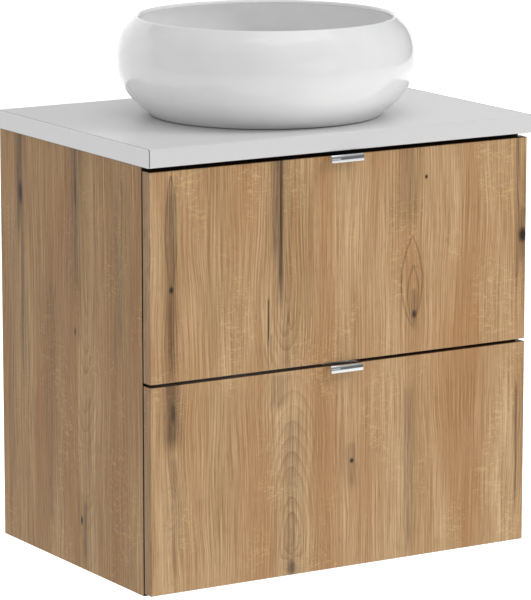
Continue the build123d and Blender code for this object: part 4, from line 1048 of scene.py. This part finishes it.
class VANITY_OT_stage(Operator):
    """Sets up the studio: floor and backdrop, lights, surroundings and camera"""
    bl_idname = "vanity.stage"
    bl_label = "Studio"

    def execute(self, context):
        scene = context.scene
        light = scene.vanity_light
        sweep = bmesh.new()
        # The paper lies below the wall-hung cabinet and turns up behind it.
        floor_z, half, near, far, height, bend = -0.85, 9.0, -8.0, 8.0, 6.0, 2.0
        line = [Vector((near, floor_z))]
        line += arc_points(Vector((far - bend, floor_z + bend)), bend, -90, 0, 16)
        line += [Vector((far, floor_z + height))]
        pairs = [[sweep.verts.new((x, y, z)) for x in (-half, half)] for y, z in line]
        for (a, b), (c, d) in zip(pairs, pairs[1:]):
            sweep.faces.new((a, b, d, c))
        mesh = to_mesh(sweep, 40)
        material, tree, mm = new_finish("matt studio paper")
        tooth = add(tree, NOISE, Vector=mm, Scale=1 / 3, Detail=2.0)
        shade = add(tree, RANGE, tooth, 0.0, 1.0, 0.0, 0.04)
        colour = add(tree, BLEND, shade, scene.vanity_colours.floor, linear("#E8E8E8"))
        close_finish(material, Base_Color=colour, Roughness=0.9, Emission_Color=(1, 1, 1),
                     Emission_Strength=0.34)
        mesh.materials.append(material)
        paper = bpy.data.objects.new("studio_paper", mesh)
        scene.collection.objects.link(paper)

        middle = Vector((0, -0.2, -0.15))
        boxes = (("key_softbox", (2.6, -2.4, 2.3), middle, 1.3, 1.3, light.key),
                 ("side_softbox", (-3.8, -1.9, 0.9), middle, 1.8, 2.2, light.side),
                 ("front_softbox", (0.6, -4.6, 0.6), middle, 2.6, 1.4, light.front),
                 ("top_softbox", (0.2, -1.0, 2.6), middle, 2.2, 1.2, light.top),
                 ("backdrop_light", (1.8, 0.8, 2.6), Vector((4.4, 5.6, -0.6)), 3.4, 2.6, light.backdrop))
        for name, place, aim, width, depth, power in boxes:
            lamp = bpy.data.lights.new(name, "AREA")
            lamp.shape = "RECTANGLE"
            lamp.size = width
            lamp.size_y = depth
            lamp.energy = power
            holder = bpy.data.objects.new(name, lamp)
            holder.location = place
            holder.rotation_euler = (aim - holder.location).to_track_quat("-Z", "Y").to_euler()
            holder.visible_camera = False
            holder.visible_glossy = name in ("top_softbox", "front_softbox")
            scene.collection.objects.link(holder)

        world = bpy.data.worlds.new("white studio")
        world.use_nodes = True
        tree = world.node_tree
        tree.nodes.clear()
        way = add(tree, "ShaderNodeTexCoord").outputs["Generated"]
        up = add(tree, SPLIT, way).outputs["Z"]
        dim = add(tree, EASE, up, 0.35, 0.8, 0.3, 1.0)
        sky = add(tree, "ShaderNodeBackground", Color=dim, Strength=light.surround)
        add(tree, "ShaderNodeOutputWorld", Surface=sky)
        scene.world = world

        camera = bpy.data.objects.new("camera", bpy.data.cameras.new("camera"))
        camera.data.sensor_width = 36.0
        camera.data.lens = 239.2
        camera.data.clip_end = 60.0
        camera.location = (-2.8000, -4.8190, 0.8608)
        camera.rotation_euler = Vector((0.51000, 0.83858, -0.19151)).to_track_quat("-Z", "Y").to_euler()
        scene.collection.objects.link(camera)
        scene.camera = camera
        scene.view_settings.view_transform = "Standard"
        return {"FINISHED"}


class VANITY_PT_panel(Panel):
    """Lists the pieces of the vanity and what can be changed about them"""
    bl_idname = "VANITY_PT_panel"
    bl_label = "Vanity"
    bl_space_type = "VIEW_3D"
    bl_region_type = "UI"
    bl_category = "Vanity"

    def draw(self, context):
        for operator in OPERATORS:
            self.layout.operator(operator.bl_idname)
        for group in GROUPS:
            settings = getattr(context.scene, group)
            box = self.layout.box()
            for name in settings.bl_rna.properties.keys():
                if name not in ("rna_type", "name"):
                    box.prop(settings, name)


OPERATORS = (VANITY_OT_stage, VANITY_OT_oak_boards, VANITY_OT_worktop, VANITY_OT_basin, VANITY_OT_pulls,
             VANITY_OT_waste, VANITY_OT_trap, VANITY_OT_screws, VANITY_OT_dowels, VANITY_OT_runners,
             VANITY_OT_hanging, VANITY_OT_drawer_boxes)
GROUPS = {"vanity_oak": OakColours, "vanity_colours": SolidColours, "vanity_basin": BasinSizes,
          "vanity_light": StudioLight}


def register():
    for one in (*GROUPS.values(), *OPERATORS, VANITY_PT_panel):
        bpy.utils.register_class(one)
    for name, group in GROUPS.items():
        setattr(bpy.types.Scene, name, PointerProperty(type=group))


def unregister():
    for name in GROUPS:
        delattr(bpy.types.Scene, name)
    for one in (VANITY_PT_panel, *reversed(OPERATORS), *reversed(list(GROUPS.values()))):
        bpy.utils.unregister_class(one)


def main():
    """Builds every piece in order."""
    register()
    for operator in OPERATORS:
        getattr(bpy.ops.vanity, operator.bl_idname.split(".")[1])()


if __name__ == "__main__":
    main()
